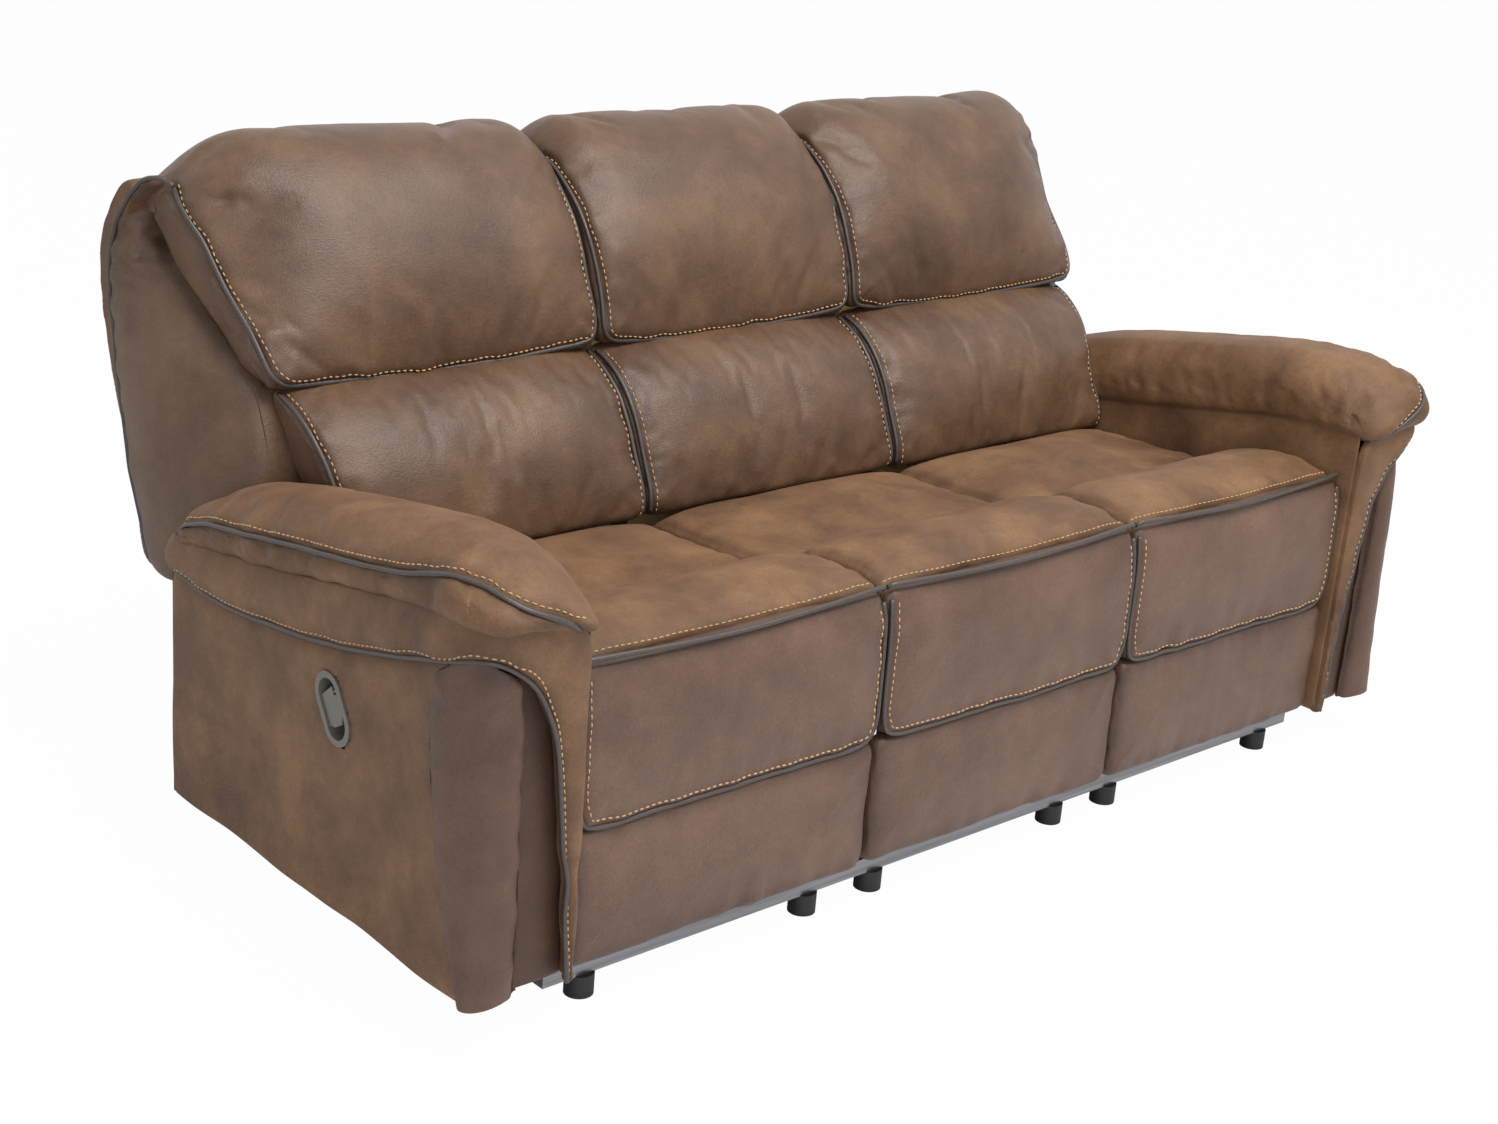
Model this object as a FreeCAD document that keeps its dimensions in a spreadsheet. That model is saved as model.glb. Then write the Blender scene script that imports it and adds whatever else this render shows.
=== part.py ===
import FreeCAD, Part
import math
import os
import re
import Sketcher

# Three-seat reclining sofa with two reclining end seats and a fixed middle seat.
# Millimetres, +Z up, front towards -Y, origin on the floor under the middle of the sofa.

doc = FreeCAD.newDocument("RecliningSofa")

# Driving dimensions. Depths are measured along Y from the middle of the sofa, heights from the floor.
sizes = {
    # overall layout
    "seat_pitch": 550,
    "seat_play": 2,
    "arm_play": 4,
    "arm_width": 159,
    "pad_overhang": 12,
    "sofa_front": 545,
    "sofa_rear": 545,
    "sofa_height": 1020,
    # welded base, side plates and glides
    "tube": 25,
    "glide_height": 33,
    "glide_radius": 21,
    "glide_inset": 68,
    "front_rail_depth": 444,
    "rear_rail_depth": 290,
    "plate": 3,
    "layer_gap": 1,
    "seat_plate_inset": 43,
    "base_plate_front": 240,
    "base_plate_rear": 35,
    "base_plate_height": 125,
    "post_front": 80,
    "post_rear": 132,
    "pivot_radius": 5,
    "pivot_play": 0.08,
    "cover_top": 240,
    "cloth": 3,
    # swing links that carry the sliding seat
    "swing_length": 95,
    "swing_angle": 17,
    "swing_front": 205,
    "swing_rear": 5,
    "swing_height": 105,
    "link_half": 9,
    # seat box
    "seat_front": 452,
    "seat_rear": 58,
    "seat_height": 525,
    "seat_edge_drop": 12,
    "seat_crown_depth": 375,
    "crease_depth": 228,
    "crease_sink": 17,
    "seat_rear_height": 449,
    "frame_bottom": 305,
    "frame_rail": 30,
    "frame_front": 425,
    "frame_block": 14,
    "frame_side": 23,
    "webbing": 3,
    "webbing_width": 60,
    "cushion_inset": 17,
    "plate_leg_front": 402,
    "plate_leg_rear": 338,
    "plate_leg_bottom": 88,
    "plate_low": 180,
    "plate_high": 345,
    "plate_rear": 40,
    # lazy tongs of the footrest
    "tong_depth": 355,
    "tong_height": 400,
    "tong_arm": 150,
    "tong_tilt": 4,
    "tong_rest": 4,
    "tong_travel": 80,
    # footrest
    "board": 15,
    "board_front": 455,
    "board_bottom": 110,
    "board_drop": 45,
    "pad_rise": 37,
    "panel_rise": 45,
    "bib_bottom": 276,
    "bib_drop": 10,
    "panel_bottom": 84,
    "panel_gap": 3,
    "edge_round": 14,
    # backs
    "hinge_depth": 110,
    "hinge_height": 330,
    "back_lean": 21,
    "back_foot": 105,
    "back_foot_height": 360,
    "stile": 25,
    "stile_depth": 45,
    "stile_drop": 80,
    "cross_rail": 60,
    "head_gap_height": 708,
    "cushion_gap": 3,
    "lumbar_front": 48,
    "lumbar_crown": 100,
    "lumbar_crown_height": 600,
    "head_gap_depth": 190,
    "head_thick": 51,
    "crown_drop": 150,
    "head_top_run": 150,
    "head_top_length": 80,
    "shell_thick": 30,
    "shell_bottom": 371,
    "shell_foot": 430,
    "shoulder_drop": 170,
    "shell_drop": 68,
    "shell_top_depth": 490,
    "lumbar_inset": 13,
    "head_wrap": 45,
    "back_wrap": 117,
    "wing_front": 262,
    "wing_low": 500,
    "wing_rear_low": 345,
    # arms
    "arm_bottom": 75,
    "arm_front": 503,
    "arm_rear": 262,
    "arm_board": 16,
    "side_panel": 14,
    "front_panel": 30,
    "band_strip": 26,
    "front_pad_width": 72,
    "band_low_rear": 440,
    "band_low_middle": 450,
    "band_low_front": 526,
    "band_nose": 552,
    "pad_low_rear": 472,
    "pad_low_middle": 514,
    "pad_low_front": 577,
    "pad_low_nose": 592,
    "arm_kink": 345,
    "pad_top_rear": 530,
    "pad_top_middle": 628,
    "arm_height": 694,
    "pad_crown_depth": 430,
    "band_bulge": 6,
    # release handle
    "cup_depth": 173,
    "cup_height": 374,
    "cup_length": 104,
    "cup_width": 62,
    "cup_rim": 3,
    "cup_sink": 26,
    "cup_wall": 5,
    "cup_tilt": 31,
    "paddle_length": 60,
    "paddle_width": 40,
    "paddle_thick": 5,
}

# Sizes that follow from the driving ones
following = {
    "glide_spread": "seat_pitch/2 - glide_inset",
    "seat_plate_spread": "seat_pitch/2 - seat_plate_inset",
    "crease_height": "(seat_height + seat_rear_height)/2 - crease_sink",
    "frame_half": "seat_plate_spread - frame_block",
    "webbing_pitch": "frame_half*0.367",
    "plate_top": "tong_height + link_half + plate",
    "cushion_step": "plate_top + 2*layer_gap + 2*plate",
    "cushion_core": "seat_plate_spread - cushion_inset",
    "board_half": "seat_plate_spread - layer_gap",
    "board_top": "seat_height - board_drop",
    "bib_top": "seat_height - bib_drop",
    "stile_top": "sofa_height - stile_drop",
    "head_crown_height": "sofa_height - crown_drop",
    "head_crown_depth": "back_foot + (head_crown_height - back_foot_height)*tan(back_lean) - head_thick",
    "head_top_depth": "head_crown_depth + head_top_run",
    "head_rear": "head_top_depth + head_top_length",
    "shell_shoulder_height": "sofa_height - shoulder_drop",
    "shell_top": "sofa_height - shell_drop",
    "lumbar_side": "seat_pitch*3/2 - lumbar_inset",
    "head_side": "seat_pitch*3/2 + head_wrap",
    "back_side": "seat_pitch*3/2 + back_wrap",
}

sheet = doc.addObject("Spreadsheet::Sheet", "Sizes")
for row, (alias, value) in enumerate(sizes.items(), start=1):
    sheet.set(f"A{row}", alias)
    sheet.set(f"B{row}", str(value))
    sheet.setAlias(f"B{row}", alias)
doc.recompute()

words = re.compile(r"\b(" + "|".join(sorted(sizes, key=len, reverse=True)) + r")\b")


def cell(text):
    """An expression in which every size name points at its cell."""
    text = str(text)
    for name, meaning in reversed(following.items()):
        text = re.sub(rf"\b{name}\b", f"({meaning})", text)
    return words.sub(r"Sizes.\1", text)


def number(text):
    """The number that an expression of size names gives now."""
    return float(sheet.evalExpression(cell(text)))


nodes = []


def finish(piece, label):
    """Names a finished piece and lists it for export."""
    piece.Label = label
    nodes.append(piece)
    return piece


def bind_place(piece, x="0", y="0", z="0", turn="0"):
    """Places a piece; turn is in degrees about -X, which swings its lower end forwards."""
    piece.Placement = FreeCAD.Placement(
        FreeCAD.Vector(number(x), number(y), number(z)),
        FreeCAD.Rotation(FreeCAD.Vector(-1, 0, 0), number(turn)),
    )
    piece.setExpression("Placement.Base.x", cell(x))
    piece.setExpression("Placement.Base.y", cell(y))
    piece.setExpression("Placement.Base.z", cell(z))
    if turn != "0":
        piece.setExpression("Placement.Rotation.Angle", cell(turn))


def new_body(label, x="0", y="0", z="0", turn="0"):
    body = doc.addObject("PartDesign::Body", label)
    body.AllowCompound = True
    bind_place(body, x, y, z, turn)
    return body


def plane_of(body, role):
    return [item for item in body.Origin.OriginFeatures if item.Role == role][0]


def new_sketch(body, offset="0", role="YZ_Plane"):
    sketch = body.newObject("Sketcher::SketchObject", body.Name + "_sketch")
    sketch.AttachmentSupport = [(plane_of(body, role), "")]
    sketch.MapMode = "FlatFace"
    sketch.setExpression("AttachmentOffset.Base.z", cell(offset))
    return sketch


def bind_point(sketch, geometry, point, place):
    """Ties one point of a sketch to a pair of expressions."""
    for kind, text in zip(("DistanceX", "DistanceY"), place):
        index = sketch.addConstraint(Sketcher.Constraint(kind, -1, 1, geometry, point, number(text)))
        sketch.setExpression(f"Constraints[{index}]", cell(text))


def bind_radius(sketch, geometry, radius):
    index = sketch.addConstraint(Sketcher.Constraint("Radius", geometry, number(radius)))
    sketch.setExpression(f"Constraints[{index}]", cell(radius))


def draw_outline(sketch, points):
    """A closed outline of straight sides."""
    corners = [FreeCAD.Vector(number(a), number(b), 0) for a, b in points]
    count = len(points)
    for index in range(count):
        sketch.addGeometry(Part.LineSegment(corners[index], corners[(index + 1) % count]))
    for index in range(count):
        sketch.addConstraint(Sketcher.Constraint("Coincident", index, 2, (index + 1) % count, 1))
    for index in range(count):
        bind_point(sketch, index, 1, points[index])


def draw_circle(sketch, place, radius):
    centre = FreeCAD.Vector(number(place[0]), number(place[1]), 0)
    geometry = sketch.addGeometry(Part.Circle(centre, FreeCAD.Vector(0, 0, 1), number(radius)))
    bind_point(sketch, geometry, 3, place)
    bind_radius(sketch, geometry, radius)


def draw_link(sketch, first, last, radius):
    """A bar outline with round ends about two centres."""
    a = FreeCAD.Vector(number(first[0]), number(first[1]), 0)
    b = FreeCAD.Vector(number(last[0]), number(last[1]), 0)
    r = number(radius)
    angle = math.atan2(b.y - a.y, b.x - a.x)
    side = FreeCAD.Vector(-math.sin(angle), math.cos(angle), 0) * r
    up = FreeCAD.Vector(0, 0, 1)
    quarter = math.pi / 2
    first_round, last_round = Part.Circle(a, up, r), Part.Circle(b, up, r)
    first_arc = sketch.addGeometry(Part.ArcOfCircle(first_round, angle + quarter, angle + 3 * quarter))
    last_arc = sketch.addGeometry(Part.ArcOfCircle(last_round, angle - quarter, angle + quarter))
    left = sketch.addGeometry(Part.LineSegment(a + side, b + side))
    right = sketch.addGeometry(Part.LineSegment(b - side, a - side))
    for line, line_end, arc, arc_end in (
        (left, 1, first_arc, 1),
        (left, 2, last_arc, 2),
        (right, 1, last_arc, 1),
        (right, 2, first_arc, 2),
    ):
        sketch.addConstraint(Sketcher.Constraint("Tangent", line, line_end, arc, arc_end))
    sketch.addConstraint(Sketcher.Constraint("Equal", first_arc, last_arc))
    bind_radius(sketch, first_arc, radius)
    bind_point(sketch, first_arc, 3, first)
    bind_point(sketch, last_arc, 3, last)


def add_pad(body, sketch, length, reverse=False, both=False):
    pad = body.newObject("PartDesign::Pad", body.Name + "_pad")
    pad.Profile = sketch
    pad.Reversed = reverse
    pad.Midplane = both
    pad.setExpression("Length", cell(length))
    return pad


def add_pocket(body, sketch, length=None, reverse=False, both=False):
    """A cut through everything, or as deep as length."""
    pocket = body.newObject("PartDesign::Pocket", body.Name + "_pocket")
    pocket.Profile = sketch
    pocket.Reversed = reverse
    pocket.Midplane = both
    if length is None:
        pocket.Type = "ThroughAll"
    else:
        pocket.setExpression("Length", cell(length))
    return pocket


def add_mirror(body, features):
    """The same features again on the other side of the body's middle plane."""
    mirror = body.newObject("PartDesign::Mirrored", body.Name + "_mirror")
    mirror.Originals = features
    mirror.MirrorPlane = (plane_of(body, "YZ_Plane"), [""])
    body.Tip = mirror
    return mirror


def round_edges(body, radius, along_x=True, ends=True):
    """Rounds the outer edges of a padded slab: those that run along X, and those of its two ends."""
    doc.recompute()
    base = body.Tip
    names = []
    for index, edge in enumerate(base.Shape.Edges, start=1):
        start, end = edge.Vertexes[0].Point, edge.Vertexes[-1].Point
        runs_along = abs(end.x - start.x) > 1
        if (runs_along and along_x) or (ends and not runs_along):
            names.append(f"Edge{index}")
    fillet = body.newObject("PartDesign::Fillet", body.Name + "_round")
    fillet.Base = (base, names)
    fillet.setExpression("Radius", cell(radius))
    return fillet


def span(side, near, far):
    """Start and length along X of a slab between two distances from the middle, on the side given."""
    start = f"{near}" if side > 0 else f"-({far})"
    return start, f"({far}) - ({near})"


def slab(body, points, start, length):
    sketch = new_sketch(body, start)
    draw_outline(sketch, points)
    return add_pad(body, sketch, length)


def wide_slab(body, points, width):
    sketch = new_sketch(body)
    draw_outline(sketch, points)
    return add_pad(body, sketch, width, both=True)


def box(label, x, y, z):
    """A box between two expressions along each axis."""
    piece = doc.addObject("Part::Box", label)
    for axis, length, pair in (("x", "Length", x), ("y", "Width", y), ("z", "Height", z)):
        piece.setExpression(f"Placement.Base.{axis}", cell(pair[0]))
        piece.setExpression(length, cell(f"({pair[1]}) - ({pair[0]})"))
    return piece


def side_box(label, side, near, far, y, z):
    low, high = (near, far) if side > 0 else (f"-({far})", f"-({near})")
    return box(label, (low, high), y, z)


def group(label, pieces):
    """Separate solids that share one name."""
    compound = doc.addObject("Part::Compound", label)
    compound.Links = pieces
    return finish(compound, label)


# Places along X that several pieces share
seat_half = "seat_pitch/2 - seat_play"
arm_in = "seat_pitch*3/2 + arm_play"
arm_out = "seat_pitch*3/2 + arm_play + arm_width"
layer = "(plate + layer_gap)"
pin_reach = "plate + layer_gap*17/10"
seat_plate_out = "seat_plate_spread + plate"
base_plate_in = f"seat_plate_spread + 2*{layer}"
tong_near = f"seat_plate_spread - {layer}"
tong_far = f"seat_plate_spread - 2*{layer}"
hole = "pivot_radius + pivot_play"
rail_top = "glide_height + tube"

# Pivots of the footrest tongs, in a seat's own frame, with the footrest shut
tong_reach = "2*tong_arm"
slot_y = f"-tong_depth - {tong_reach}*cos(tong_rest)*sin(tong_tilt)"
slot_z = f"tong_height - {tong_reach}*cos(tong_rest)*cos(tong_tilt)"
slot_high_y = f"-tong_depth - {tong_reach}*cos(tong_rest + tong_travel)*sin(tong_tilt)"
slot_high_z = f"tong_height - {tong_reach}*cos(tong_rest + tong_travel)*cos(tong_tilt)"
low_y = f"-tong_depth - {tong_reach}*sin(tong_rest + tong_tilt)"
low_z = f"tong_height - {tong_reach}*cos(tong_rest + tong_tilt)"
near_y = f"-tong_depth - {tong_reach}*sin(tong_rest)*cos(tong_tilt)"
near_z = f"tong_height + {tong_reach}*sin(tong_rest)*sin(tong_tilt)"
far_y = f"{near_y} - tong_arm*sin(tong_rest + tong_tilt)"
far_z = f"{near_z} - tong_arm*cos(tong_rest + tong_tilt)"

# Top pivots of the swing links, with the seat at the back of its travel
swing_top_y = "swing_length*sin(swing_angle)"
swing_top_z = "swing_height + swing_length*cos(swing_angle)"


def lean_at(height):
    """Depth of the back frame's front face at a height."""
    return f"(back_foot + ({height} - back_foot_height)*tan(back_lean))"


def swing_link(label, x, depth):
    """A pair of flat links that stand on the base plates and carry the seat's side plates."""
    body = new_body(label, x, depth, "swing_height", "swing_angle")
    sketch = new_sketch(body, seat_plate_out + " + layer_gap")
    draw_link(sketch, ("0", "0"), ("0", "swing_length"), "link_half")
    bar = add_pad(body, sketch, "plate")
    sketch = new_sketch(body)
    draw_circle(sketch, ("0", "0"), hole)
    draw_circle(sketch, ("0", "swing_length"), hole)
    add_mirror(body, [bar, add_pocket(body, sketch, both=True)])
    finish(body, label)


def seat_side_plates(label, x):
    """Plates with the tongs' fixed pivot and guide slot, and the pins that the swing links carry."""
    body = new_body(label, x)
    outline = [
        ("-plate_leg_front", "plate_leg_bottom"),
        ("-plate_leg_front", "plate_top"),
        ("-plate_leg_rear", "plate_top"),
        ("-plate_leg_rear", "plate_high"),
        ("plate_rear", "plate_high"),
        ("plate_rear", "plate_low"),
        ("-plate_leg_rear", "plate_low"),
        ("-plate_leg_rear", "plate_leg_bottom"),
    ]
    features = [slab(body, outline, "seat_plate_spread", "plate")]
    sketch = new_sketch(body)
    draw_link(sketch, (slot_high_y, slot_high_z), (slot_y, slot_z), hole)
    features.append(add_pocket(body, sketch, both=True))
    sketch = new_sketch(body, "seat_plate_spread")
    draw_circle(sketch, ("-tong_depth", "tong_height"), "pivot_radius")
    features.append(add_pad(body, sketch, pin_reach, reverse=True))
    sketch = new_sketch(body, seat_plate_out)
    for depth in ("-swing_front", "-swing_rear"):
        draw_circle(sketch, (f"{depth} + {swing_top_y}", swing_top_z), "pivot_radius")
    features.append(add_pad(body, sketch, pin_reach))
    add_mirror(body, features)
    finish(body, label)


def tong(label, x, y, z, turn, layer_start, length, pins, holes, long_pin=None):
    """A pair of flat bars; places along a bar are distances from its own pivot."""
    body = new_body(label, x, y, z, turn)
    sketch = new_sketch(body, layer_start)
    draw_link(sketch, ("0", "0"), ("0", length), "link_half")
    features = [add_pad(body, sketch, "plate")]
    sketch = new_sketch(body)
    for place in holes:
        draw_circle(sketch, ("0", place), hole)
    features.append(add_pocket(body, sketch, both=True))
    if pins:
        sketch = new_sketch(body, layer_start)
        for place in pins:
            draw_circle(sketch, ("0", place), "pivot_radius")
        features.append(add_pad(body, sketch, pin_reach, reverse=True))
    if long_pin:
        sketch = new_sketch(body, f"{layer_start} + plate")
        draw_circle(sketch, ("0", long_pin), "pivot_radius")
        features.append(add_pad(body, sketch, f"{layer} + {pin_reach}"))
    add_mirror(body, features)
    finish(body, label)


def footrest_brackets(label, x):
    body = new_body(label, x)
    outline = [
        (f"{near_y} + link_half + layer_gap", f"{near_z} + link_half"),
        ("board - board_front", f"{near_z} + link_half"),
        ("board - board_front", f"{far_z} - link_half"),
        (f"{far_y} + link_half + layer_gap", f"{far_z} - link_half"),
    ]
    features = [slab(body, outline, tong_near, "plate")]
    sketch = new_sketch(body, tong_near)
    draw_circle(sketch, (near_y, near_z), "pivot_radius")
    draw_circle(sketch, (far_y, far_z), "pivot_radius")
    features.append(add_pad(body, sketch, pin_reach, reverse=True))
    add_mirror(body, features)
    finish(body, label)


def seat_frame(label, x, front, legs):
    """Four rails, spacer blocks out to the side plates, and webbing straps laid over the rails."""
    left, right = f"{x} - frame_half", f"{x} + frame_half"
    inner = "frame_side"
    height = ("frame_bottom", "frame_bottom + frame_rail")
    depth = (f"-({front})", "seat_rear - arm_play")
    pieces = [
        box(label + "_left_rail", (left, f"{left} + {inner}"), depth, height),
        box(label + "_right_rail", (f"{right} - {inner}", right), depth, height),
    ]
    between = (f"{left} + {inner}", f"{right} - {inner}")
    pieces.append(box(label + "_front_rail", between, (depth[0], f"{depth[0]} + {inner}"), height))
    pieces.append(box(label + "_rear_rail", between, (f"{depth[1]} - {inner}", depth[1]), height))
    block = ("swing_rear - plate_leg_rear", "plate_rear")
    pieces.append(box(label + "_left_block", (f"{x} - seat_plate_spread", left), block, height))
    pieces.append(box(label + "_right_block", (right, f"{x} + seat_plate_spread"), block, height))
    strap_height = (height[1], f"{height[1]} + webbing")
    for index in range(-2, 3):
        middle = f"{x} + ({index})*webbing_pitch"
        across = (f"{middle} - webbing_width/2", f"{middle} + webbing_width/2")
        pieces.append(box(f"{label}_strap_{index + 3}", across, depth, strap_height))
    if legs:
        for near, far in (("-seat_plate_spread - plate", "-seat_plate_spread"),
                          ("seat_plate_spread", "seat_plate_spread + plate")):
            leg = (f"{x} + {near}", f"{x} + {far}")
            pieces.append(box(label + "_leg", leg, ("-swing_front", "plate_rear"), (rail_top, height[1])))
    group(label, pieces)


def seat_cushion(label, x):
    """Soft seat: flat at the back, a crease, then a raised front; its low sides clear the side plates."""
    body = new_body(label, x)
    bottom = "frame_bottom + frame_rail + webbing"
    outline = [
        ("seat_rear", bottom),
        ("board + cushion_gap - board_front", bottom),
        ("board + cushion_gap - board_front", "board_top + board"),
        ("-seat_front", "board_top + board"),
        ("-seat_front", "seat_height - seat_edge_drop"),
        ("-seat_crown_depth", "seat_height"),
        ("-crease_depth", "crease_height"),
        ("seat_rear", "seat_rear_height"),
    ]
    wide_slab(body, outline, f"2*({seat_half})")
    sketch = new_sketch(body, "cushion_core")
    step = [
        ("seat_rear + cloth", f"{bottom} - cloth"),
        ("seat_rear + cloth", "cushion_step"),
        ("-seat_front - cloth", "cushion_step"),
        ("-seat_front - cloth", f"{bottom} - cloth"),
    ]
    draw_outline(sketch, step)
    groove = add_pocket(body, sketch, "seat_pitch/2", reverse=True)
    add_mirror(body, [groove])
    finish(body, label)


def front_board(label, x):
    across = (f"{x} - board_half", f"{x} + board_half")
    finish(box(label, across, ("-board_front", "board - board_front"), ("board_bottom", "board_top")), label)


def bib_pad(label, x):
    body = new_body(label, x)
    outline = [
        ("-board_front", "bib_bottom"),
        ("-board_front", "bib_top"),
        ("-board_front - pad_rise", "bib_top - edge_round/2"),
        ("-board_front - pad_rise", "bib_bottom"),
    ]
    wide_slab(body, outline, f"2*({seat_half})")
    round_edges(body, "edge_round")
    finish(body, label)


def lower_panel(label, x):
    body = new_body(label, x)
    outline = [
        ("-board_front", "panel_bottom"),
        ("-board_front", "bib_bottom - panel_gap"),
        ("-board_front - pad_rise", "bib_bottom - panel_gap"),
        ("-board_front - panel_rise", "(bib_bottom + panel_bottom)/2"),
        ("-board_front - pad_rise", "panel_bottom"),
    ]
    wide_slab(body, outline, f"2*({seat_half})")
    round_edges(body, "edge_round")
    finish(body, label)


def back_frame(label, x):
    """Leaning stiles, cross rails, ribs out to the shell, and the hinge brackets."""
    front, deep = lean_at, "stile_depth"
    stiles = new_body(label + "_stiles", x)
    outline = [
        (front("back_foot_height"), "back_foot_height"),
        (front("back_foot_height") + f" + {deep}", "back_foot_height"),
        (front("stile_top") + f" + {deep}", "stile_top"),
        (front("stile_top"), "stile_top"),
    ]
    add_mirror(stiles, [slab(stiles, outline, f"{base_plate_in} - layer_gap", "stile")])
    pieces = [stiles]
    rails = (
        ("low", "back_foot_height + cross_rail/2"),
        ("middle", "head_gap_height - cross_rail"),
        ("top", "stile_top - cross_rail"),
    )
    for name, low in rails:
        high = f"{low} + cross_rail"
        rail = new_body(f"{label}_{name}_rail", x)
        outline = [
            (front(low), low),
            (front(low) + f" + {deep}", low),
            (front(high) + f" + {deep}", high),
            (front(high), high),
        ]
        wide_slab(rail, outline, f"2*({base_plate_in} - layer_gap)")
        pieces.append(rail)
    ribs = new_body(label + "_ribs", x)
    outline = [
        (front("shell_bottom") + f" + {deep}", "shell_bottom"),
        ("shell_foot - shell_thick", "shell_bottom"),
        ("sofa_rear - shell_thick", "shell_shoulder_height"),
        (front("shell_shoulder_height") + f" + {deep}", "shell_shoulder_height"),
    ]
    add_mirror(ribs, [slab(ribs, outline, f"{base_plate_in} + plate + layer_gap", "stile/2")])
    pieces.append(ribs)
    brackets = new_body(label + "_brackets", x)
    outline = [
        ("hinge_depth - 3*pivot_radius", "hinge_height - 2*pivot_radius"),
        ("hinge_depth + 3*pivot_radius", "hinge_height - 2*pivot_radius"),
        (front("head_gap_height - 4*cross_rail") + f" + {deep}*3/4", "head_gap_height - 4*cross_rail"),
        (front("head_gap_height - 4*cross_rail"), "head_gap_height - 4*cross_rail"),
    ]
    bracket = slab(brackets, outline, f"{base_plate_in} - layer_gap - plate", "plate")
    sketch = new_sketch(brackets)
    draw_circle(sketch, ("hinge_depth", "hinge_height"), hole)
    add_mirror(brackets, [bracket, add_pocket(brackets, sketch, both=True)])
    pieces.append(brackets)
    group(label, pieces)


def lumbar_cushion(label, start, length):
    body = new_body(label)
    bottom = "seat_rear_height + cushion_gap"
    top = "head_gap_height - cushion_gap"
    outline = [
        (lean_at(bottom), bottom),
        ("lumbar_front", bottom),
        ("(lumbar_front + lumbar_crown)/2 - cushion_gap", f"(seat_rear_height + lumbar_crown_height)/2"),
        ("lumbar_crown", "lumbar_crown_height"),
        ("(lumbar_crown + head_gap_depth)/2", "head_gap_height - edge_round*2"),
        ("head_gap_depth + edge_round/2", top),
        (lean_at(top), top),
    ]
    slab(body, outline, start, length)
    round_edges(body, "edge_round/2", along_x=False)
    finish(body, label)


def head_cushion(label, start, length):
    body = new_body(label)
    over = "stile_top + edge_round"
    outline = [
        (lean_at("head_gap_height"), "head_gap_height"),
        ("head_gap_depth", "head_gap_height"),
        ("head_gap_depth + edge_round", "(head_gap_height*2 + head_crown_height)/3"),
        ("head_crown_depth", "head_crown_height"),
        ("(head_crown_depth*2 + head_top_depth)/3 + edge_round", "(head_crown_height + sofa_height*2)/3"),
        ("head_top_depth - edge_round*3", "sofa_height - edge_round"),
        ("head_top_depth", "sofa_height"),
        ("head_rear - edge_round*2", "sofa_height - edge_round"),
        ("head_rear", "sofa_height - edge_round*4"),
        ("head_rear", over),
        (lean_at(over), over),
    ]
    slab(body, outline, start, length)
    round_edges(body, "edge_round/2", along_x=False)
    finish(body, label)


shell_slope = "(sofa_rear - shell_foot)/(shell_shoulder_height - shell_bottom)"


def back_shell(label, start, length):
    """Upholstered outside back."""
    body = new_body(label)
    outline = [
        ("shell_foot", "shell_bottom"),
        ("sofa_rear", "shell_shoulder_height"),
        ("shell_top_depth", "shell_top"),
        ("shell_top_depth - shell_thick", "shell_top"),
        ("sofa_rear - shell_thick", "shell_shoulder_height"),
        ("shell_foot - shell_thick", "shell_bottom"),
    ]
    slab(body, outline, start, length)
    finish(body, label)


def back_wing(label, side):
    """Padded side of an end back: beside the head cushion, and in below it beside the lumbar cushion."""
    body = new_body(label)
    reach = "shell_foot - shell_thick"
    gap_high = "head_gap_height - cushion_gap"
    low = [
        ("wing_rear_low", "shell_bottom"),
        (f"{reach}", "shell_bottom"),
        (f"{reach} + ({gap_high} - shell_bottom)*{shell_slope}", gap_high),
        ("wing_front", gap_high),
        ("wing_front + edge_round", "wing_low + 3*edge_round"),
        ("(wing_front + wing_rear_low)/2", "wing_low - 2*edge_round"),
    ]
    high = [
        ("wing_front", gap_high),
        (f"{reach} + ({gap_high} - shell_bottom)*{shell_slope}", gap_high),
        ("sofa_rear - shell_thick", "shell_shoulder_height"),
        ("shell_top_depth - shell_thick", "shell_top"),
        ("head_top_depth - 2*edge_round", "shell_top"),
        ("(wing_front + head_top_depth)/2 - edge_round*2", "shell_shoulder_height"),
    ]
    slab(body, low, *span(side, "lumbar_side + cushion_gap", "back_side"))
    slab(body, high, *span(side, "head_side + cushion_gap", "back_side"))
    finish(body, label)


# Undersides and tops of the arm's layers, from the rear to the nose
board_front_y = "front_panel - arm_front"
band_low = [
    ("arm_rear", "band_low_rear"),
    ("0", "band_low_middle"),
    ("-arm_kink", "band_low_front"),
    (board_front_y, "band_nose"),
]


def lowered(line, drop):
    return [(depth, f"{height} - ({drop})") for depth, height in line]


def arm_frame(label, side):
    """Five boards: the inner side, the bottom, the front, the rear and the sloping top."""
    inner = new_body(label + "_inner")
    foot = [(board_front_y, "arm_bottom"), ("arm_rear", "arm_bottom")]
    slab(inner, foot + band_low, *span(side, arm_in, f"{arm_in} + arm_board"))
    near, far = f"{arm_in} + arm_board", f"{arm_out} - side_panel"
    floor_top = "arm_bottom + arm_board"
    top = new_body(label + "_top")
    slab(top, band_low + lowered(band_low, "arm_board")[::-1], *span(side, near, far))
    depth = (board_front_y, "arm_rear")
    bottom = side_box(label + "_bottom", side, near, far, depth, ("arm_bottom", floor_top))
    front_depth = (board_front_y, f"{board_front_y} + arm_board")
    front = side_box(label + "_front", side, near, far, front_depth, (floor_top, "band_low_front - arm_board"))
    rear_depth = ("arm_rear - arm_board", "arm_rear")
    rear = side_box(label + "_rear", side, near, far, rear_depth, (floor_top, "band_low_rear - arm_board"))
    group(label, [inner, top, bottom, front, rear])


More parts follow.
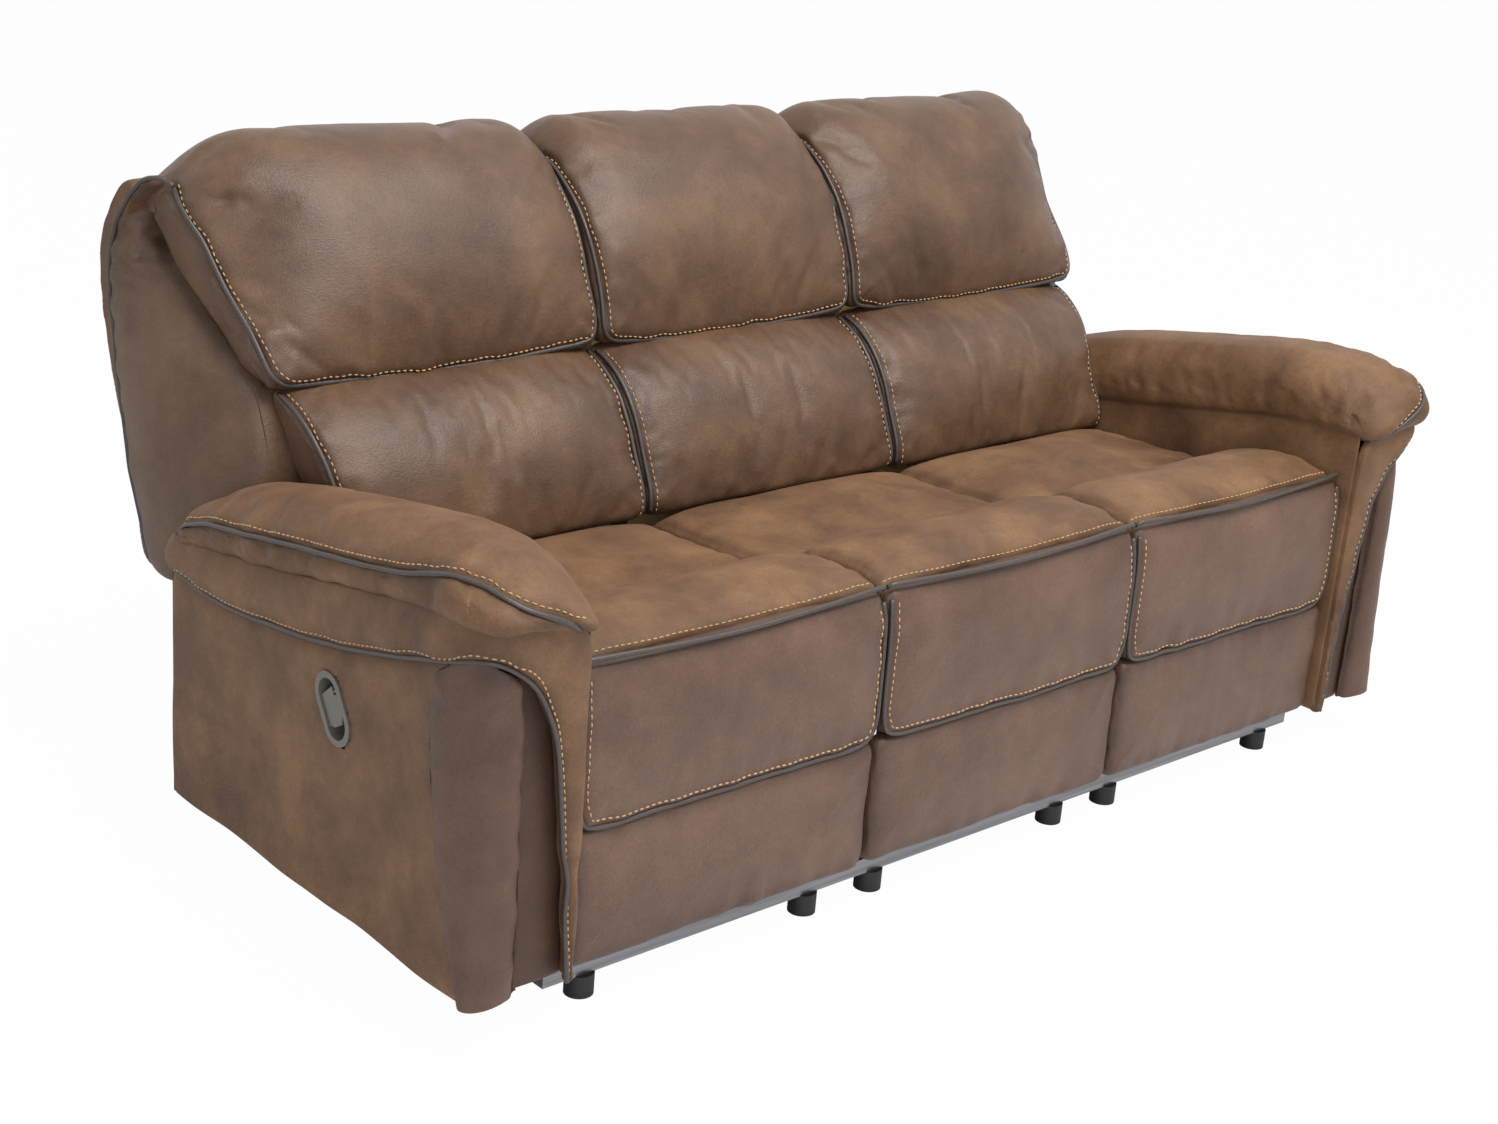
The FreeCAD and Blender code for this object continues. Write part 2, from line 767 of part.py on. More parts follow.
def arm_side_panel(label, side):
    """Upholstered outer side with an oval hole for the handle cup."""
    body = new_body(label)
    foot = [(board_front_y, "arm_bottom"), ("arm_rear", "arm_bottom")]
    slab(body, foot + band_low, *span(side, f"{arm_out} - side_panel", arm_out))
    sketch = new_sketch(body)
    along, up = "(cup_length - cup_width)/2*sin(cup_tilt)", "(cup_length - cup_width)/2*cos(cup_tilt)"
    low, high = (f"-cup_depth - {along}", f"cup_height - {up}"), (f"-cup_depth + {along}", f"cup_height + {up}")
    draw_link(sketch, low, high, "cup_width/2 - cup_wall + layer_gap/4")
    add_pocket(body, sketch, both=True)
    finish(body, label)


def arm_front_pad(label, side):
    """Tall padded front of the arm, and the narrow recessed strip beside it."""
    body = new_body(label)
    sketch = new_sketch(body, "-(front_panel - arm_front)", "XZ_Plane")
    low, high = "arm_bottom", "band_low_front + band_bulge"
    outer, middle, inner = arm_out, f"{arm_out} - front_pad_width", f"{arm_in} + band_strip"
    if side < 0:
        outer, middle, inner = f"-({outer})", f"-({middle})", f"-({inner})"
    draw_outline(sketch, [(outer, low), (outer, high), (middle, high), (middle, low)])
    add_pad(body, sketch, "front_panel")
    sketch = new_sketch(body, "-(front_panel - arm_front)", "XZ_Plane")
    draw_outline(sketch, [(middle, low), (middle, high), (inner, high), (inner, low)])
    add_pad(body, sketch, "front_panel/2")
    finish(body, label)


def arm_band(label, side):
    """Padded roll under the arm pad, which also runs down the front beside the seat."""
    body = new_body(label)
    over = [
        ("-arm_front - band_bulge/2", "band_nose + band_bulge"),
        ("-arm_front", "pad_low_nose"),
        ("-arm_kink", "pad_low_front"),
        ("0", "pad_low_middle"),
        ("arm_rear", "pad_low_rear"),
    ]
    nose = [("-arm_front", "band_low_front + 2*band_bulge")]
    slab(body, band_low + nose + over, *span(side, arm_in, f"{arm_out} + band_bulge"))
    strip = [(board_front_y, "arm_bottom"), ("-arm_front", "arm_bottom")] + nose + band_low[-1:]
    slab(body, strip, *span(side, arm_in, f"{arm_in} + band_strip"))
    finish(body, label)


def arm_pad(label, side):
    """Thick top pad that rises towards the front and ends in a blunt nose."""
    body = new_body(label)
    outline = [
        ("arm_rear", "pad_low_rear"),
        ("0", "pad_low_middle"),
        ("-arm_kink", "pad_low_front"),
        ("-arm_front", "pad_low_nose"),
        ("-sofa_front + band_bulge", "pad_low_nose + 2*band_bulge"),
        ("-sofa_front", "(pad_low_nose + arm_height)/2"),
        ("-sofa_front + 3*band_bulge", "arm_height - 2*band_bulge"),
        ("-pad_crown_depth", "arm_height"),
        ("0", "pad_top_middle"),
        ("arm_rear*3/4", "pad_top_rear + 7*band_bulge"),
        ("arm_rear", "pad_top_rear"),
    ]
    slab(body, outline, *span(side, f"{arm_in} - edge_round", f"{arm_out} + pad_overhang"))
    round_edges(body, "edge_round", along_x=False)
    finish(body, label)


def handle_cups(label):
    """An oval cup in the outer side of each arm, with a rim and two sockets for the paddle's trunnions."""
    body = new_body(label, "0", "-cup_depth", "cup_height", "cup_tilt")
    half = "(cup_length - cup_width)/2"
    sketch = new_sketch(body, arm_out)
    draw_link(sketch, ("0", f"-{half}"), ("0", half), "cup_width/2")
    rim = add_pad(body, sketch, "cup_rim")
    sketch = new_sketch(body, arm_out)
    draw_link(sketch, ("0", f"-{half}"), ("0", half), "cup_width/2 - cup_wall")
    bowl = add_pad(body, sketch, "cup_sink", reverse=True)
    sketch = new_sketch(body, f"{arm_out} + cup_rim")
    draw_link(sketch, ("0", f"-{half}"), ("0", half), "cup_width/2 - 2*cup_wall + layer_gap")
    hollow = add_pocket(body, sketch, "cup_sink")
    sketch = new_sketch(body, "0", "XZ_Plane")
    draw_circle(sketch, (f"{arm_out} - paddle_thick/2", half), "cup_rim - layer_gap + pivot_play")
    sockets = add_pocket(body, sketch, "cup_width - 3*cup_wall", both=True)
    add_mirror(body, [rim, bowl, hollow, sockets])
    finish(body, label)


def release_handle(label, side):
    """A flat paddle that is pulled outwards at its lower end; two trunnions hold its upper end."""
    body = new_body(label, "0", "-cup_depth", "cup_height", "cup_tilt")
    half = "(cup_length - cup_width)/2"
    wide, narrow = "paddle_width/2", "paddle_width/4"
    outline = [
        (f"-({wide})", f"{half} - paddle_thick"),
        (f"-({narrow})", f"{half} - paddle_thick"),
        (f"-({narrow})", f"{half} + paddle_thick*3/2"),
        (wide, f"{half} + paddle_thick/2"),
        (wide, f"{half} - paddle_length*2/3"),
        (narrow, f"{half} - paddle_length*3/4"),
        (f"-({narrow})", f"{half} - paddle_length*3/4"),
        (f"-({wide})", f"{half} - paddle_length/2"),
    ]
    slab(body, outline, *span(side, f"{arm_out} - paddle_thick", arm_out))
    sketch = new_sketch(body, "0", "XZ_Plane")
    centre = f"{arm_out} - paddle_thick/2" if side > 0 else f"-({arm_out}) + paddle_thick/2"
    draw_circle(sketch, (centre, half), "cup_rim - layer_gap")
    add_pad(body, sketch, "cup_width - 3*cup_wall - 2*layer_gap", both=True)
    finish(body, label)


def base_frame():
    """Front and rear tubes across the sofa with tabs for the arms, and two runners under each seat."""
    height = ("glide_height", rail_top)
    front = ("-front_rail_depth", "tube - front_rail_depth")
    rear = ("rear_rail_depth - tube", "rear_rail_depth")
    pieces = [
        box("front_rail", (f"-({arm_in})", arm_in), front, height),
        box("rear_rail", (f"-({arm_in})", arm_in), rear, height),
    ]
    for sign in (-1, 1):
        for depth in (front, rear):
            tab = (rail_top, f"{rail_top} + 3*tube")
            pieces.append(side_box("arm_tab", sign, f"{arm_in} - plate", arm_in, depth, tab))
    for seat in (-1, 0, 1):
        for sign in (-1, 1):
            middle = f"({seat})*seat_pitch + ({sign})*({base_plate_in} + tube/4)"
            across = (f"{middle} - tube/2", f"{middle} + tube/2")
            pieces.append(box("runner", across, (front[1], rear[0]), height))
    group("base_frame", pieces)


def base_side_plates():
    """Plates that stand on the runners, each with a post for the back's hinge."""
    outline = [
        ("-base_plate_front", rail_top),
        ("post_rear", rail_top),
        ("post_rear", "hinge_height + 2*pivot_radius"),
        ("post_front", "hinge_height + 2*pivot_radius"),
        ("base_plate_rear", "base_plate_height"),
        ("-base_plate_front", "base_plate_height"),
    ]
    pieces = []
    for seat, name in ((-1, "left"), (0, "middle"), (1, "right")):
        body = new_body(f"base_plates_{name}", f"({seat})*seat_pitch")
        features = [slab(body, outline, base_plate_in, "plate")]
        sketch = new_sketch(body, base_plate_in)
        draw_circle(sketch, ("hinge_depth", "hinge_height"), "pivot_radius")
        if seat:
            draw_circle(sketch, ("-swing_front", "swing_height"), "pivot_radius")
            draw_circle(sketch, ("-swing_rear", "swing_height"), "pivot_radius")
        features.append(add_pad(body, sketch, pin_reach, reverse=True))
        add_mirror(body, features)
        pieces.append(body)
    group("base_side_plates", pieces)


def glide_feet():
    pieces = []
    for seat in (-1, 0, 1):
        for sign in (-1, 1):
            for depth in ("tube/2 - front_rail_depth", "rear_rail_depth - tube/2"):
                foot = doc.addObject("Part::Cylinder", "glide")
                foot.setExpression("Radius", cell("glide_radius"))
                foot.setExpression("Height", cell("glide_height"))
                place = f"({seat})*seat_pitch + ({sign})*glide_spread"
                bind_place(foot, place, depth)
                pieces.append(foot)
    group("glide_feet", pieces)


def dust_cover():
    across = ("seat_play - seat_pitch*3/2", "seat_pitch*3/2 - seat_play")
    depth = ("rear_rail_depth", "rear_rail_depth + cloth")
    finish(box("rear_dust_cover", across, depth, ("glide_height", "cover_top")), "rear_dust_cover")


base_frame()
base_side_plates()
glide_feet()
dust_cover()
handle_cups("handle_cups")

for side, name in ((-1, "left"), (1, "right")):
    x = f"({side})*seat_pitch"
    swing_link(f"swing_link_front_{name}", x, "-swing_front")
    swing_link(f"swing_link_rear_{name}", x, "-swing_rear")
    seat_side_plates(f"seat_side_plates_{name}", x)
    seat_frame(f"seat_frame_{name}", x, "frame_front", False)
    seat_cushion(f"seat_cushion_{name}", x)
    main_turn, cross_turn = "tong_rest + tong_tilt", "tong_tilt - tong_rest"
    tong(f"footrest_main_link_{name}", x, "-tong_depth", "tong_height", main_turn, tong_near,
         "-2*tong_arm", ["-tong_arm", "-2*tong_arm"], ["0"])
    tong(f"footrest_cross_link_{name}", x, slot_y, slot_z, cross_turn, tong_far,
         "2*tong_arm", [], ["tong_arm", "2*tong_arm"], long_pin="0")
    tong(f"footrest_low_link_{name}", x, low_y, low_z, cross_turn, tong_far,
         "tong_arm", [], ["0", "tong_arm"])
    footrest_brackets(f"footrest_brackets_{name}", x)
    front_board(f"footrest_board_{name}", x)
    bib_pad(f"footrest_bib_pad_{name}", x)
    lower_panel(f"footrest_lower_panel_{name}", x)
    back_frame(f"back_frame_{name}", x)
    inner = "seat_pitch/2 + seat_play"
    lumbar_cushion(f"lumbar_cushion_{name}", *span(side, inner, "lumbar_side"))
    head_cushion(f"head_cushion_{name}", *span(side, inner, "head_side"))
    back_shell(f"back_shell_{name}", *span(side, inner, "back_side"))
    back_wing(f"back_wing_{name}", side)
    arm_frame(f"arm_frame_{name}", side)
    arm_side_panel(f"arm_side_panel_{name}", side)
    arm_front_pad(f"arm_front_pad_{name}", side)
    arm_band(f"arm_band_{name}", side)
    arm_pad(f"arm_pad_{name}", side)
    release_handle(f"release_handle_{name}", side)

seat_frame("seat_frame_middle", "0", "board_front - board", True)
seat_cushion("seat_cushion_middle", "0")
front_board("front_board_middle", "0")
bib_pad("bib_pad_middle", "0")
lower_panel("lower_panel_middle", "0")
back_frame("back_frame_middle", "0")
middle = (f"-({seat_half})", f"2*({seat_half})")
lumbar_cushion("lumbar_cushion_middle", *middle)
head_cushion("head_cushion_middle", *middle)
back_shell("back_shell_middle", *middle)

doc.recompute()
faults = [item.Name for item in doc.Objects if {"Invalid", "Error"} & set(item.State)]
for node in nodes:
    shape = node.Shape
    if shape.isNull() or not shape.isValid() or not shape.Solids:
        faults.append(node.Label)
if faults:
    raise SystemExit("not built: " + ", ".join(faults))

os.makedirs("parts", exist_ok=True)
for node in nodes:
    node.Shape.exportStep(f"parts/{node.Label}.step")
    print(f"{node.Label}: {len(node.Shape.Solids)} solids, {node.Shape.Volume / 1e6:.3f} litres")
print(f"{len(nodes)} nodes")
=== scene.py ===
import math
import bpy
import numpy as np
from mathutils import Matrix, Vector
from mathutils.bvhtree import BVHTree
from mathutils.kdtree import KDTree


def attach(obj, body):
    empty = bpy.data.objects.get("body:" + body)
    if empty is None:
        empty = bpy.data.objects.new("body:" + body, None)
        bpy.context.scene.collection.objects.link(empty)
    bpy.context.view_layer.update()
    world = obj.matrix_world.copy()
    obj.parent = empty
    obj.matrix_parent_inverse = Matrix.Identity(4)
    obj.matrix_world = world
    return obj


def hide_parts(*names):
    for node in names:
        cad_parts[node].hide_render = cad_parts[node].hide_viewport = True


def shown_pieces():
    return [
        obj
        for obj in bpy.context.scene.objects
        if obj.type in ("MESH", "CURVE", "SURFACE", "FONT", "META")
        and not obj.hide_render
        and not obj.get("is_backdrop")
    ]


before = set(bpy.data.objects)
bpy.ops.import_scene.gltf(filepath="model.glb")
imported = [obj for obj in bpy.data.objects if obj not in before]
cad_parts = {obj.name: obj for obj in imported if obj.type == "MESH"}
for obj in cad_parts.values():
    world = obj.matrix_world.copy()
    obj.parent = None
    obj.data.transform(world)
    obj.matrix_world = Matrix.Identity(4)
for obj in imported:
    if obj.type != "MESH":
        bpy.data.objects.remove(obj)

bpy.ops.object.select_all(action="DESELECT")
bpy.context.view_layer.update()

sides = {"left": -1, "right": 1}
seatCentres = {"left": -550.0, "middle": 0.0, "right": 550.0}
finishOf = {}  # materials by name, filled below

# Everything in this script is thought out in millimetres and handed to Blender in metres.


def report(text):
    print("stage:", text)


def valuesOf(vertices, key):
    flat = np.empty(len(vertices) * 3)
    vertices.foreach_get(key, flat)
    return flat.reshape(-1, 3)


def pointsOf(piece):
    return valuesOf(piece.data.vertices, "co") * 1000


def placePoints(piece, points):
    piece.data.vertices.foreach_set("co", (np.asarray(points) / 1000).ravel())
    piece.data.update()


def moveOut(piece, rise):
    placePoints(piece, pointsOf(piece) + valuesOf(piece.data.vertices, "normal") * rise[:, None])


def runOf(line):
    # the length along a line up to each of its points
    return np.concatenate([[0], np.cumsum(np.linalg.norm(np.diff(line, axis=0), axis=1))])


def selectOnly(piece):
    bpy.ops.object.select_all(action="DESELECT")
    bpy.context.view_layer.objects.active = piece
    piece.select_set(True)


def evenLine(points, step, closed=False):
    line = np.asarray(points, float)
    if closed:
        line = np.vstack([line, line[:1]])
    lengths = runOf(line)
    count = max(3, int(round(lengths[-1] / step)))
    marks = np.linspace(0, lengths[-1], count + (0 if closed else 1), endpoint=not closed)
    return np.stack([np.interp(marks, lengths, line[:, k]) for k in range(line.shape[1])], axis=1)


def smoothLine(points, step):
    # a soft curve through the points, then spaced evenly
    given = np.asarray(points, float)
    padded = np.vstack([2 * given[0] - given[1], given, 2 * given[-1] - given[-2]])
    line = []
    for i in range(1, len(padded) - 2):
        a, b, c, d = padded[i - 1:i + 3]
        for t in np.linspace(0, 1, 13, endpoint=False):
            line.append(0.5 * (2 * b + (c - a) * t + (2 * a - 5 * b + 4 * c - d) * t * t
                               + (3 * b - a - 3 * c + d) * t ** 3))
    return evenLine(np.array(line + [padded[-2]]), step)


def roundedOutline(corners, step):
    # corners are (a, b, radius); each is cut by a soft curve
    line = []
    count = len(corners)
    for i, (a, b, radius) in enumerate(corners):
        corner = np.array((a, b), float)
        before = np.array(corners[i - 1][:2], float) - corner
        after = np.array(corners[(i + 1) % count][:2], float) - corner
        lengthBefore, lengthAfter = np.linalg.norm(before), np.linalg.norm(after)
        first = corner + before / lengthBefore * min(radius, lengthBefore * 0.49)
        last = corner + after / lengthAfter * min(radius, lengthAfter * 0.49)
        for t in np.linspace(0, 1, 9):
            line.append((1 - t) ** 2 * first + 2 * t * (1 - t) * corner + t * t * last)
    return evenLine(np.array(line), step, closed=True)


def meshPiece(name, points, faces):
    mesh = bpy.data.meshes.new(name)
    mesh.from_pydata([tuple(p / 1000) for p in np.asarray(points)], [], faces)
    piece = bpy.data.objects.new(name, mesh)
    bpy.context.scene.collection.objects.link(piece)
    selectOnly(piece)
    bpy.ops.object.mode_set(mode="EDIT")
    bpy.ops.mesh.select_all(action="SELECT")
    bpy.ops.mesh.remove_doubles(threshold=0.00002)
    bpy.ops.mesh.dissolve_degenerate(threshold=0.00001)
    bpy.ops.mesh.normals_make_consistent(inside=False)
    bpy.ops.object.mode_set(mode="OBJECT")
    bpy.ops.object.shade_smooth()
    bpy.ops.object.select_all(action="DESELECT")
    return piece


def loftPad(name, corners, start, end, edge, step=9.0, across="x", shape=None):
    # a closed pad: an outline carried from start to end, its rims rounded by edge and its ends
    # closed by rings that run in to a spine
    outline = roundedOutline(corners, step)
    centre = outline.mean(axis=0)
    spread = outline - centre
    values, vectors = np.linalg.eigh(spread.T @ spread)
    longWay, shortWay = vectors[:, 1], vectors[:, 0]
    halfLong, halfShort = np.abs(spread @ longWay).max(), np.abs(spread @ shortWay).max()
    along = np.clip(spread @ longWay, -(halfLong - halfShort), halfLong - halfShort)
    along = np.round(along / step) * step  # opposite sides meet in the same points
    spine = centre + along[:, None] * longWay
    towards = spine - outline
    reach = np.maximum(np.linalg.norm(towards, axis=1), 0.001)
    rimmed = outline + towards * np.minimum(edge / reach, 0.9)[:, None]
    capCount = max(2, int(halfShort / step))
    flip = 1 if end > start else -1
    rings = []
    for k in range(capCount, 0, -1):
        rings.append((start, rimmed + (spine - rimmed) * (k / capCount)))
    for k in range(5):
        angle = math.radians(90 * k / 4)
        inset = outline + towards * np.minimum(edge * (1 - math.sin(angle)) / reach, 0.9)[:, None]
        rings.append((start + flip * edge * (1 - math.cos(angle)), inset))
    inner = abs(end - start) - 2 * edge
    straight = max(2, int(round(inner / step)))
    for k in range(1, straight):
        rings.append((start + flip * (edge + inner * k / straight), outline))
    back = [(end - (place - start), ring) for place, ring in rings[:capCount + 5]]
    rings += back[::-1]
    size = len(outline)
    points = np.zeros((len(rings), size, 3))
    order = {"x": (0, 1, 2), "y": (1, 0, 2)}[across]
    for k, (place, ring) in enumerate(rings):
        points[k, :, order[0]] = place
        points[k, :, order[1]] = ring[:, 0]
        points[k, :, order[2]] = ring[:, 1]
    points = points.reshape(-1, 3)
    if shape:
        points = shape(points)
    faces = []
    for k in range(len(rings) - 1):
        for i in range(size):
            j = (i + 1) % size
            faces.append((k * size + i, k * size + j, (k + 1) * size + j, (k + 1) * size + i))
    return meshPiece(name, points, faces)


def stripPad(name, pairs, bulge, outward, depth=14.0, step=8.0, power=0.6):
    # a pad between two edge lines given in pairs; it swells towards outward and has a flat back
    first = smoothLine([a for a, b in pairs], 2.0)
    second = smoothLine([b for a, b in pairs], 2.0)
    count = int(max(runOf(first)[-1], runOf(second)[-1]) / step)
    both = smoothLine([tuple(a) + tuple(b) + tuple(n) for (a, b), n in zip(pairs, outward)], 2.0)
    places = np.linspace(0, len(both) - 1, count + 1).round().astype(int)
    both = both[places]
    first, second, normal = both[:, :3], both[:, 3:6], both[:, 6:9]
    lift = np.linalg.norm(normal, axis=1)[:, None]
    normal = normal / lift
    rows = max(4, int(np.linalg.norm(first - second, axis=1).max() / step))
    fractions = 0.5 - 0.5 * np.cos(np.linspace(0.08, math.pi - 0.08, rows + 1))
    fractions = (fractions - fractions[0]) / (fractions[-1] - fractions[0])
    front = [first + (second - first) * f + normal * lift * bulge * math.sin(math.pi * f) ** power
             for f in fractions]
    rear = [first + (second - first) * f - normal * depth for f in fractions]
    grid = np.array(front + rear[::-1])  # a closed loop across the strip
    loop, size = grid.shape[0], grid.shape[1]
    faces = []
    for k in range(loop):
        for i in range(size - 1):
            nextRow = (k + 1) % loop
            faces.append((k * size + i, k * size + i + 1, nextRow * size + i + 1, nextRow * size + i))
    for end in (0, size - 1):
        for k in range(rows):
            a, b = k, k + 1
            c, d = loop - 2 - k, loop - 1 - k
            faces.append((a * size + end, b * size + end, c * size + end, d * size + end))
    return meshPiece(name, grid.reshape(-1, 3), faces)


def seamDistances(points, seams):
    # each point's distance to the nearest seam, and how far along that seam it lies
    marks = np.concatenate([np.asarray(seam) for seam in seams])
    lengths = np.concatenate([runOf(np.asarray(seam)) for seam in seams])
    tree = KDTree(len(marks))
    for i, mark in enumerate(marks):
        tree.insert(Vector(mark), i)
    tree.balance()
    found = [tree.find(Vector(p)) for p in points]
    return np.array([f[2] for f in found]), lengths[[f[1] for f in found]]


def subdivide(piece):
    modifier = piece.modifiers.new("Subdivision", "SUBSURF")
    modifier.levels = modifier.render_levels = 1
    selectOnly(piece)
    bpy.ops.object.modifier_apply(modifier=modifier.name)
    bpy.ops.object.select_all(action="DESELECT")


def swell(piece, seams, amount, reach, ends=1.0):
    # every panel rises away from its seams, its gussets less
    points = pointsOf(piece)
    distance, run = seamDistances(points, seams)
    rise = amount * (1 - np.exp(-(distance / reach) ** 1.5))
    facing = valuesOf(piece.data.vertices, "normal")
    rise *= 1 - (1 - ends) * np.clip(np.abs(facing[:, 0]) * 2 - 0.8, 0, 1)
    placePoints(piece, points + facing * rise[:, None])


clothSim = {"frames": 20, "pressure": 4.0, "hold": 9.0, "quality": 4, "mass": 0.4, "stretch": 12, "shear": 6,
            "bending": 0.6}


def blowUp(piece, seams, cap, held, shrink=-0.02):
    # cloth under pressure, held at its seams and where held says; each point may move cap at the most
    points = pointsOf(piece)
    distance, run = seamDistances(points, seams)
    fixed = (distance < clothSim["hold"]) | held(points)
    group = piece.vertex_groups.new(name="seams")
    group.add([int(i) for i in np.nonzero(fixed)[0]], 1.0, "REPLACE")
    cloth = piece.modifiers.new("Cloth", "CLOTH")
    settings = cloth.settings
    settings.quality, settings.mass = clothSim["quality"], clothSim["mass"]
    settings.tension_stiffness = settings.compression_stiffness = clothSim["stretch"]
    settings.shear_stiffness, settings.bending_stiffness = clothSim["shear"], clothSim["bending"]
    settings.use_pressure = True
    settings.uniform_pressure_force = clothSim["pressure"]
    settings.shrink_min = shrink
    settings.vertex_group_mass = "seams"
    settings.effector_weights.gravity = 0
    cloth.point_cache.frame_start, cloth.point_cache.frame_end = 1, clothSim["frames"]
    scene = bpy.context.scene
    for number in range(1, clothSim["frames"] + 1):
        scene.frame_set(number)
    seen = piece.evaluated_get(bpy.context.evaluated_depsgraph_get()).data
    moved = valuesOf(seen.vertices, "co") * 1000 - points
    piece.modifiers.remove(cloth)
    piece.vertex_groups.remove(group)
    scene.frame_set(1)
    length = np.maximum(np.linalg.norm(moved, axis=1), 0.001)
    moved *= (np.minimum(length, cap) / length)[:, None]
    placePoints(piece, points + np.nan_to_num(moved))


def noiseAt(points, size, seed, count=9):
    # soft waves: sines in seeded directions
    dice = np.random.default_rng(seed + 500)
    total = np.zeros(len(points))
    for k in range(count):
        way = dice.normal(size=points.shape[1])
        way /= np.linalg.norm(way)
        total += np.sin(points @ way * (2 * math.pi / (size * dice.uniform(1.3, 2.9))) + dice.uniform(0, 6.28))
    return total / count ** 0.5 * 0.7


def sewIn(piece, seams, seed, depth, width, gather, wave, pitch=26.0, fade=38.0):
    # on a finer mesh the seams sink, short gathers stand beside them and the cloth lies in soft waves
    subdivide(piece)
    points = pointsOf(piece)
    distance, run = seamDistances(points, seams)
    rise = -depth * np.exp(-(distance / width) ** 2)
    ripple = noiseAt(np.stack([run, distance * pitch / 90], axis=1), pitch, seed + 40)
    rise += gather * ripple * np.exp(-distance / fade) * np.clip(distance / 8, 0, 1) * 1.6
    rise += wave * noiseAt(points, 120, seed) + wave * 0.2 * noiseAt(points, 45, seed + 5)
    moveOut(piece, rise)


def fold(piece, lines, depth, width):
    # creases that are deepest in the middle of their line and run out at its ends
    points = pointsOf(piece)
    rise = np.zeros(len(points))
    for line in lines:
        path = smoothLine(line, 4.0)
        tree = KDTree(len(path))
        for i, point in enumerate(path):
            tree.insert(Vector(point), i)
        tree.balance()
        around = np.all((points > path.min(axis=0) - width * 4) & (points < path.max(axis=0) + width * 4), axis=1)
        for i in np.nonzero(around)[0]:
            where, index, distance = tree.find(Vector(points[i]))
            if distance < width * 4:
                along = index / max(1, len(path) - 1)
                strength = math.sin(math.pi * min(max(along, 0.04), 0.96)) ** 0.7
                near = distance / width
                rise[i] += depth * strength * (-math.exp(-near ** 2) + 0.45 * math.exp(-(near - 1.9) ** 2))
    moveOut(piece, rise)


def pressIn(piece, low, high):
    # swollen sides lie flat against the neighbour: low and high give x limits for each point
    points = pointsOf(piece)
    x = points[:, 0]
    points[:, 0] = x - 0.9 * np.maximum(x - high, 0) + 0.9 * np.maximum(low - x, 0)
    placePoints(piece, points)


def treeOf(piece):
    mesh = piece.data
    return BVHTree.FromPolygons([v.co * 1000 for v in mesh.vertices], [tuple(f.vertices) for f in mesh.polygons])


def onSurface(tree, path, lift=0.0):
    snapped, facing = [], []
    for point in path:
        place, normal, index, distance = tree.find_nearest(Vector(point))
        snapped.append(np.array(place + normal * lift))
        facing.append(np.array(normal))
    return np.array(snapped), np.array(facing)


def relax(path, times):
    path = np.array(path)
    for k in range(times):
        path[1:-1] = (path[:-2] + 2 * path[1:-1] + path[2:]) / 4
    return path


def tubeAlong(name, paths, radius, sidesRound=8):
    # round cord, carried along each path without twist
    points, faces = [], []
    for path in paths:
        path = np.asarray(path)
        tangents = np.gradient(path, axis=0)
        tangents /= np.linalg.norm(tangents, axis=1)[:, None] + 1e-9
        side = np.cross(tangents[0], (0.31, 0.47, 0.83))
        base = len(points)
        for i, (place, tangent) in enumerate(zip(path, tangents)):
            side = side - tangent * side.dot(tangent)
            side /= np.linalg.norm(side)
            up = np.cross(tangent, side)
            for k in range(sidesRound):
                angle = 2 * math.pi * k / sidesRound
                points.append(place + radius * (side * math.cos(angle) + up * math.sin(angle)))
        for i in range(len(path) - 1):
            for k in range(sidesRound):
                n = (k + 1) % sidesRound
                a, b = base + i * sidesRound, base + (i + 1) * sidesRound
                faces.append((a + k, a + n, b + n, b + k))
        last = base + (len(path) - 1) * sidesRound
        faces += [tuple(range(base, base + sidesRound))[::-1], tuple(range(last, last + sidesRound))]
    return meshPiece(name, points, faces)


stitch = {"length": 7.2, "gap": 3.4, "width": 2.1, "rise": 1.4, "sunk": 0.6}


def stitchRow(name, rows):
    # rows of (points, normals) on a surface; one rounded thread is laid for each stitch
    points, faces = [], []
    pitch = stitch["length"] + stitch["gap"]
    for path, facing in rows:
        lengths = runOf(path)
        count = int(lengths[-1] / pitch)
        for k in range(count):
            marks = [k * pitch + stitch["length"] * t for t in (0.0, 0.2, 0.8, 1.0)]
            places = [np.array([np.interp(m, lengths, path[:, c]) for c in range(3)]) for m in marks]
            up = np.array([np.interp(marks[1], lengths, facing[:, c]) for c in range(3)])
            up /= np.linalg.norm(up)
            along = places[3] - places[0]
            along /= np.linalg.norm(along) + 1e-9
            side = np.cross(up, along)
            base = len(points)
            for place, wide, high in zip(places, (0.45, 1, 1, 0.45), (-0.4, 1, 1, -0.4)):
                half = stitch["width"] / 2 * wide
                top = place + up * stitch["rise"] * high
                root = place - up * stitch["sunk"]
                points += [root - side * half, top - side * half * 0.6, top + side * half * 0.6, root + side * half]
            for i in range(3):
                a, b = base + i * 4, base + i * 4 + 4
                for j in range(4):
                    n = (j + 1) % 4
                    faces.append((a + j, b + j, b + n, a + n))
            faces.append((base, base + 1, base + 2, base + 3))
            faces.append((base + 15, base + 14, base + 13, base + 12))
    return meshPiece(name, points, faces)


pipe = {"radius": 3.7, "sunk": 0.7, "step": 6.0, "relaxed": 9}


